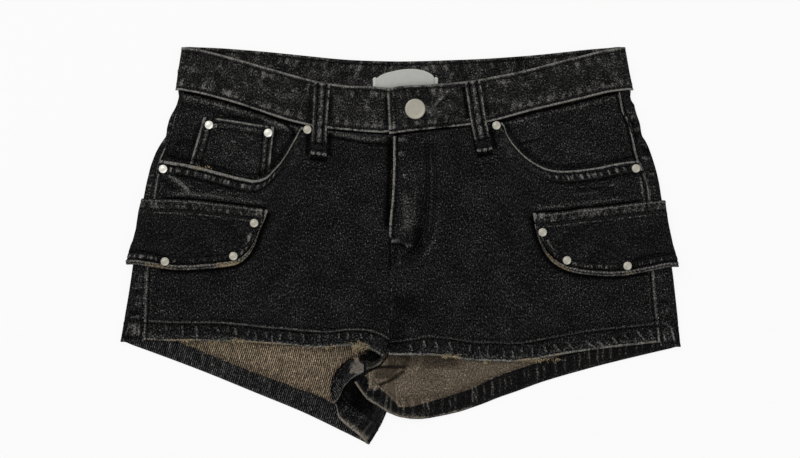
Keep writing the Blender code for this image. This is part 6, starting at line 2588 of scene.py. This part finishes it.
@dataclass
class FrontLoop(ClothPiece):
    """Belt loop over the front of the waistband, down on to the panel."""

    sections: Sequence[Loop] = RIGHT_LOOP
    tacks: Line = ((-72.0, 74.6), (-67.0, 74.3), (-62.3, 73.4))
    edge_wear: float = 0.45
    slot: str = "denim_loop"
    outer: Finish = LOOP_DENIM
    inner: Finish = LOOP_DENIM
    lies_on: str = "waistband_cloth"
    spacing: float = 0.8
    seams: Seams = ((FIRST, 2.1), (LAST, 2.1))

    def coarse(self) -> Grid:
        """Coarse grid of the loop."""
        rows = spline(self.sections, np.linspace(0.0, 1.0, LOOP_ROWS))
        middle = (rows[:, :2] + rows[:, 2:4]) / 2.0
        quarter, rest = (rows[:, :2] + middle) / 2.0, (rows[:, 2:4] + middle) / 2.0
        places = (rows[:, :2], quarter, middle, rest, rows[:, 2:4])
        return Grid.of([column(place, rows[:, 4]) for place in places], LOOP_CLOTH)

    def dressing(self, grid: Grid) -> list[Dressing]:
        """Worn edges with painted shade in the grooves beside them, a raised middle, and
        bar-tacked ends with painted shadow along the lower end.
        """
        low = float(grid.down[-1].mean())
        edge = Edging(FIRST, end=low - 11, wear_and_shade=self.edge_wear, roll=1.1, roll_height=0.15,
            seed=141, traces=(Trace(2.9, -0.3, -1.5, 0.7), Trace(6.1, 0.35, 0.62, 1.6)))
        return [
            Mottle(wear_and_shade=0.2, size=3.6, height=0.06, wave=12, seed=142),
            edge,
            replace(edge, border=LAST, seed=143, wear_and_shade=0.66, traces=(Trace(2.9, -0.3, -1.4, 0.7),)),
            # Painted shadow along the lower end, and painted shade in the grooves across it.
            Edging(LOW, wear_and_shade=0, roll=0.1, roll_height=0, seed=144,
                traces=(Trace(0.3, 0, -1.5, 0.9), Trace(5.6, -0.2, -0.6, 1.6),
                Trace(10.6, -0.2, -1.3, 0.9))),
            Edging(TOP, wear_and_shade=0.5, roll=1, roll_height=0.2, seed=145,
                traces=(Trace(3.4, -0.25, -0.6, 1.1),)),
            Dabs(tuple((x, y, 1.2, 0.9) for x, y in self.tacks), 0.85, 0.3, fade=1.1)]


@dataclass
class BackLoop(PlainPiece):
    """Belt loop pressed flat between the back of the waistband and the table."""

    cloth: float = BACK_LOOP_CLOTH
    rows: int = 5
    places: int = 3
    slot: str = "denim_loop"
    outer: Finish = LOOP_DENIM
    inner: Finish = LOOP_DENIM

    def level(self, x: Array, y: Array) -> Array:
        """Level of the outer face."""
        return np.full(np.broadcast(x, y).shape, BACK_LOOP_CLOTH)


@dataclass
class Label(PlainPiece):
    """Blank woven label standing up from the inner face of the back waistband."""

    sections: Sequence[Section] = LABEL
    cloth: float = LABEL_CLOTH
    rows: int = 3
    places: int = len(LABEL)
    slot: str = "label_weave"
    outer: Finish = LABEL_WEAVE
    inner: Finish = LABEL_WEAVE
    lies_on: str = "waistband_cloth"
    spacing: float = 1.0
    shell: Shell = Shell(0.05)

    def level(self, x: Array, y: Array) -> Array:
        """Level of the outer face."""
        top = BAND_BACK_LEVEL + BAND_CLOTH + GAP + LABEL_CLOTH
        return np.full(np.broadcast(x, y).shape, top)

    def dressing(self, grid: Grid) -> list[Dressing]:
        """Folded ends with painted light, a little lighter than the rest, and painted shade in the
        line beside each.
        """
        return [
            # Painted light on the folded ends.
            Dabs(((-21.6, 132, 0.8, 6), (29.6, 132, 0.9, 6)), 0.4, 0, fade=0.8),
            # Painted shade in the line beside each fold.
            Crease((((27.8, 138), (27.8, 130), (27.8, 122)),), 0.55, -0.1, -0.6, taper=0),
            Crease((((-20, 138), (-20, 130), (-20, 122)),), 0.5, -0.05, -0.2, taper=0),
            Edging(TOP, wear_and_shade=0.14, roll=0.8, roll_height=0.05, seed=161)]


# ---- metal parts


@dataclass(frozen=True)
class Turned:
    """Round metal part turned from rings."""

    radius: float
    height: float
    rings: tuple[Ring, ...]
    sides: int = 48

    def mesh(self, name: str, x: float, y: float, base: float) -> Mesh:
        """Mesh of the part standing at a place, in metres.

        Args:
            name: Name of the mesh.
            x: Place across.
            y: Place along.
            base: Level that it stands on.

        Returns:
            The mesh.
        """
        angles = np.linspace(0.0, 2.0 * np.pi, self.sides, endpoint=False)
        points = [(x + ring.radius * self.radius * math.cos(a),
                y + ring.radius * self.radius * math.sin(a), base + ring.height * self.height)
            for ring in self.rings for a in angles]
        return joined_tubes(name, np.array(points), 1, len(self.rings), self.sides)


BUTTON = Turned(BUTTON_RADIUS, BUTTON_HEIGHT, (
    Ring(0.78, 0), Ring(0.96, 0.34), Ring(1, 0.55), Ring(0.995, 0.74), Ring(0.97, 0.88),
    Ring(0.93, 0.97), Ring(0.88, 1), Ring(0.82, 0.99), Ring(0.76, 0.95), Ring(0.70, 0.93),
    Ring(0.40, 0.945), Ring(0.12, 0.955)))
RIVET = Turned(RIVET_RADIUS, RIVET_HEIGHT, (
    Ring(0.93, 0), Ring(1, 0.34), Ring(0.985, 0.62), Ring(0.93, 0.88), Ring(0.85, 1),
    Ring(0.74, 0.97), Ring(0.66, 0.84), Ring(0.58, 0.84), Ring(0.50, 0.95), Ring(0.28, 0.99),
    Ring(0.08, 1)), sides=36)


@dataclass(frozen=True)
class Fastening:
    """The waistband button and the rivets, seated where their solids are."""

    bright: tuple[str, ...] = ("coin_outer", "coin_inner", "right_mouth_outer")

    def build(self) -> None:
        """Make the button and the rivets."""
        low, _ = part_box("button")
        self._seat("button_metal", BUTTON, BUTTON_PLACE.x, BUTTON_PLACE.y, low.z / MM, "button",
            "button_metal", BUTTON_METAL)
        for place in RIVETS:
            node = "rivet_" + place.name
            low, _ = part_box(node)
            finish = BRIGHT_METAL if place.name in self.bright else DULL_METAL
            self._seat(node + "_metal", RIVET, place.x, place.y, low.z / MM, node, "rivet_metal",
                finish)

    @staticmethod
    def _seat(name: str, part: Turned, x: float, y: float, base: float, node: str, slot: str,
        finish: Nickel) -> None:
        """Stand one part on its base in place of its solid."""
        item = placed(part.mesh(name, x, y, base), slot, finish.material())
        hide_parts(node)
        LOG.info("%s", name)


# ---- studio
WHITE: Colour = (1.0, 1.0, 1.0, 1.0)


@dataclass(frozen=True)
class Studio:
    """White floor and backdrop, soft lights and the camera straight above."""

    floor_size: float = 6.0
    floor_level: float = -0.00016
    lens: float = 200.0
    view_width: float = 0.656
    centre: Three = (-0.0004, 0.0127, 0.006)
    lamps: tuple[tuple[str, Three, float, float], ...] = (
        ("key", (-0.7, 0.9, 1.5), 0.9, 8.4), ("fill", (0.9, -0.5, 1.4), 1.2, 3.2))
    floor_tone: Colour = (0.86, 0.86, 0.86, 1.0)
    floor_roughness: float = 0.9
    floor_glow: float = 0.9
    sky: float = 0.48

    def build(self) -> None:
        """Make the floor, the lights, the world and the camera."""
        self._floor()
        for name, place, size, power in self.lamps:
            self._lamp(name, place, size, power)
        self._world()
        self._camera()
        bpy.context.scene.view_settings.view_transform = "Standard"

    def _floor(self) -> None:
        """Pale floor that keeps a soft shadow."""
        half = self.floor_size / 2.0
        mesh = bpy.data.meshes.new("floor")
        corners = [(-half, -half), (half, -half), (half, half), (-half, half)]
        mesh.from_pydata([(x, y, self.floor_level) for x, y in corners], [], [(0, 1, 2, 3)])
        floor = bpy.data.objects.new("floor", mesh)
        bpy.context.scene.collection.objects.link(floor)
        shade = Shade("floor_white")
        shade.dress(self.floor_tone, self.floor_roughness, 0.0)
        glow = shade.add("Emission", {"Color": WHITE, "Strength": 1.0})
        seen = shade.times(shade.add("LightPath").outputs["Is Camera Ray"], self.floor_glow)
        blend = shade.add("MixShader", {0: seen, 1: shade.shader.outputs[0], 2: glow.outputs[0]})
        shade.feed(shade.tree.nodes["Material Output"].inputs["Surface"], blend.outputs[0])
        mesh.materials.append(shade.material)

    def _lamp(self, name: str, place: Three, size: float,
              power: float) -> None:
        """Square soft lamp aimed at the shorts."""
        lamp = bpy.data.lights.new(name, "AREA")
        lamp.shape, lamp.size, lamp.energy = "SQUARE", size, power
        item = bpy.data.objects.new(name, lamp)
        item.location = place
        item.rotation_mode = "QUATERNION"
        aim = Vector(np.array(self.centre) - np.array(place))
        item.rotation_quaternion = aim.to_track_quat("-Z", "Y")
        bpy.context.scene.collection.objects.link(item)

    def _world(self) -> None:
        """White where the camera or metal sees it, dimmer as a light."""
        world = bpy.data.worlds.new("studio")
        world.use_nodes = True
        nodes = Nodes(world.node_tree)
        rays = nodes.add("LightPath").outputs
        seen = nodes.math("MAXIMUM", rays["Is Camera Ray"], rays["Is Glossy Ray"])
        seen = nodes.math("MAXIMUM", seen, rays["Is Transmission Ray"])
        background = nodes.tree.nodes["Background"]
        background.inputs["Color"].default_value = WHITE
        nodes.feed(background.inputs["Strength"], nodes.more(seen, 1.0 - self.sky, self.sky))
        bpy.context.scene.world = world

    def _camera(self) -> None:
        """Camera straight above, framed on the shorts."""
        data = bpy.data.cameras.new("camera")
        data.lens = self.lens
        camera = bpy.data.objects.new("camera", data)
        distance = self.view_width * self.lens / data.sensor_width
        camera.location = (self.centre[0], self.centre[1], self.centre[2] + distance)
        bpy.context.scene.collection.objects.link(camera)
        bpy.context.scene.camera = camera


# ---- all of it


def mirrored(sections: Sequence[Section], shift: float) -> list[Section]:
    """Sections on the other side of the garment, moved down by `shift`."""
    return [Section(-s.top_x, s.top_y - shift, -s.low_x, s.low_y - shift) for s in sections]


def cloth_pieces() -> list[ClothPiece]:
    """All cloth pieces, from the table up."""
    half = BACK_LOOP_WIDTH / 2.0
    return [
        RightBackPanel("back_panel_right"),
        LeftBackPanel("back_panel_left"),
        *(BackLoop(f"belt_loop_back_{side}", sections=[
            Section(x + s, top_y, x + s, top_y - BACK_LOOP_LENGTH) for s in (-half, half)])
          for side, x, top_y in BACK_LOOPS),
        Facing("pocket_facing_right", lies_on="back_panel_right_cloth",
               sections=RIGHT_FACING, marks=RIGHT_FACING_MARKS),
        Facing("pocket_facing_left", lies_on="back_panel_left_cloth", sections=LEFT_FACING,
               side=LEFT_SIDE, inward=-1.0, marks=LEFT_FACING_MARKS),
        CoinPocket("coin_pocket"),
        RightFrontPanel("front_panel_right"),
        LeftFrontPanel("front_panel_left"),
        PocketFlap("pocket_flap_right", lies_on="front_panel_right_cloth",
                   marks=RIGHT_FLAP_MARKS),
        PocketFlap("pocket_flap_left", lies_on="front_panel_left_cloth", sections=LEFT_FLAP,
                   fold=LEFT_FLAP_FOLD, back=mirrored(FLAP_BACK, FLAP_BACK_SHIFT), inward=-1.0,
                   seed=151, sway=LEFT_FLAP_SWAY, marks=LEFT_FLAP_MARKS),
        Waistband("waistband"),
        Label("label"),
        FrontLoop("belt_loop_front_right"),
        FrontLoop("belt_loop_front_left", sections=LEFT_LOOP,
                  tacks=((64.6, 76.6), (69.3, 77.4), (74.2, 78.4)), edge_wear=0.68),
    ]


def main() -> None:
    """Build the shorts piece by piece, then the studio."""
    logging.basicConfig(level=logging.INFO, format="%(message)s")
    for piece in cloth_pieces():
        piece.build()
    Fastening().build()
    Studio().build()


if __name__ == "__main__":
    main()
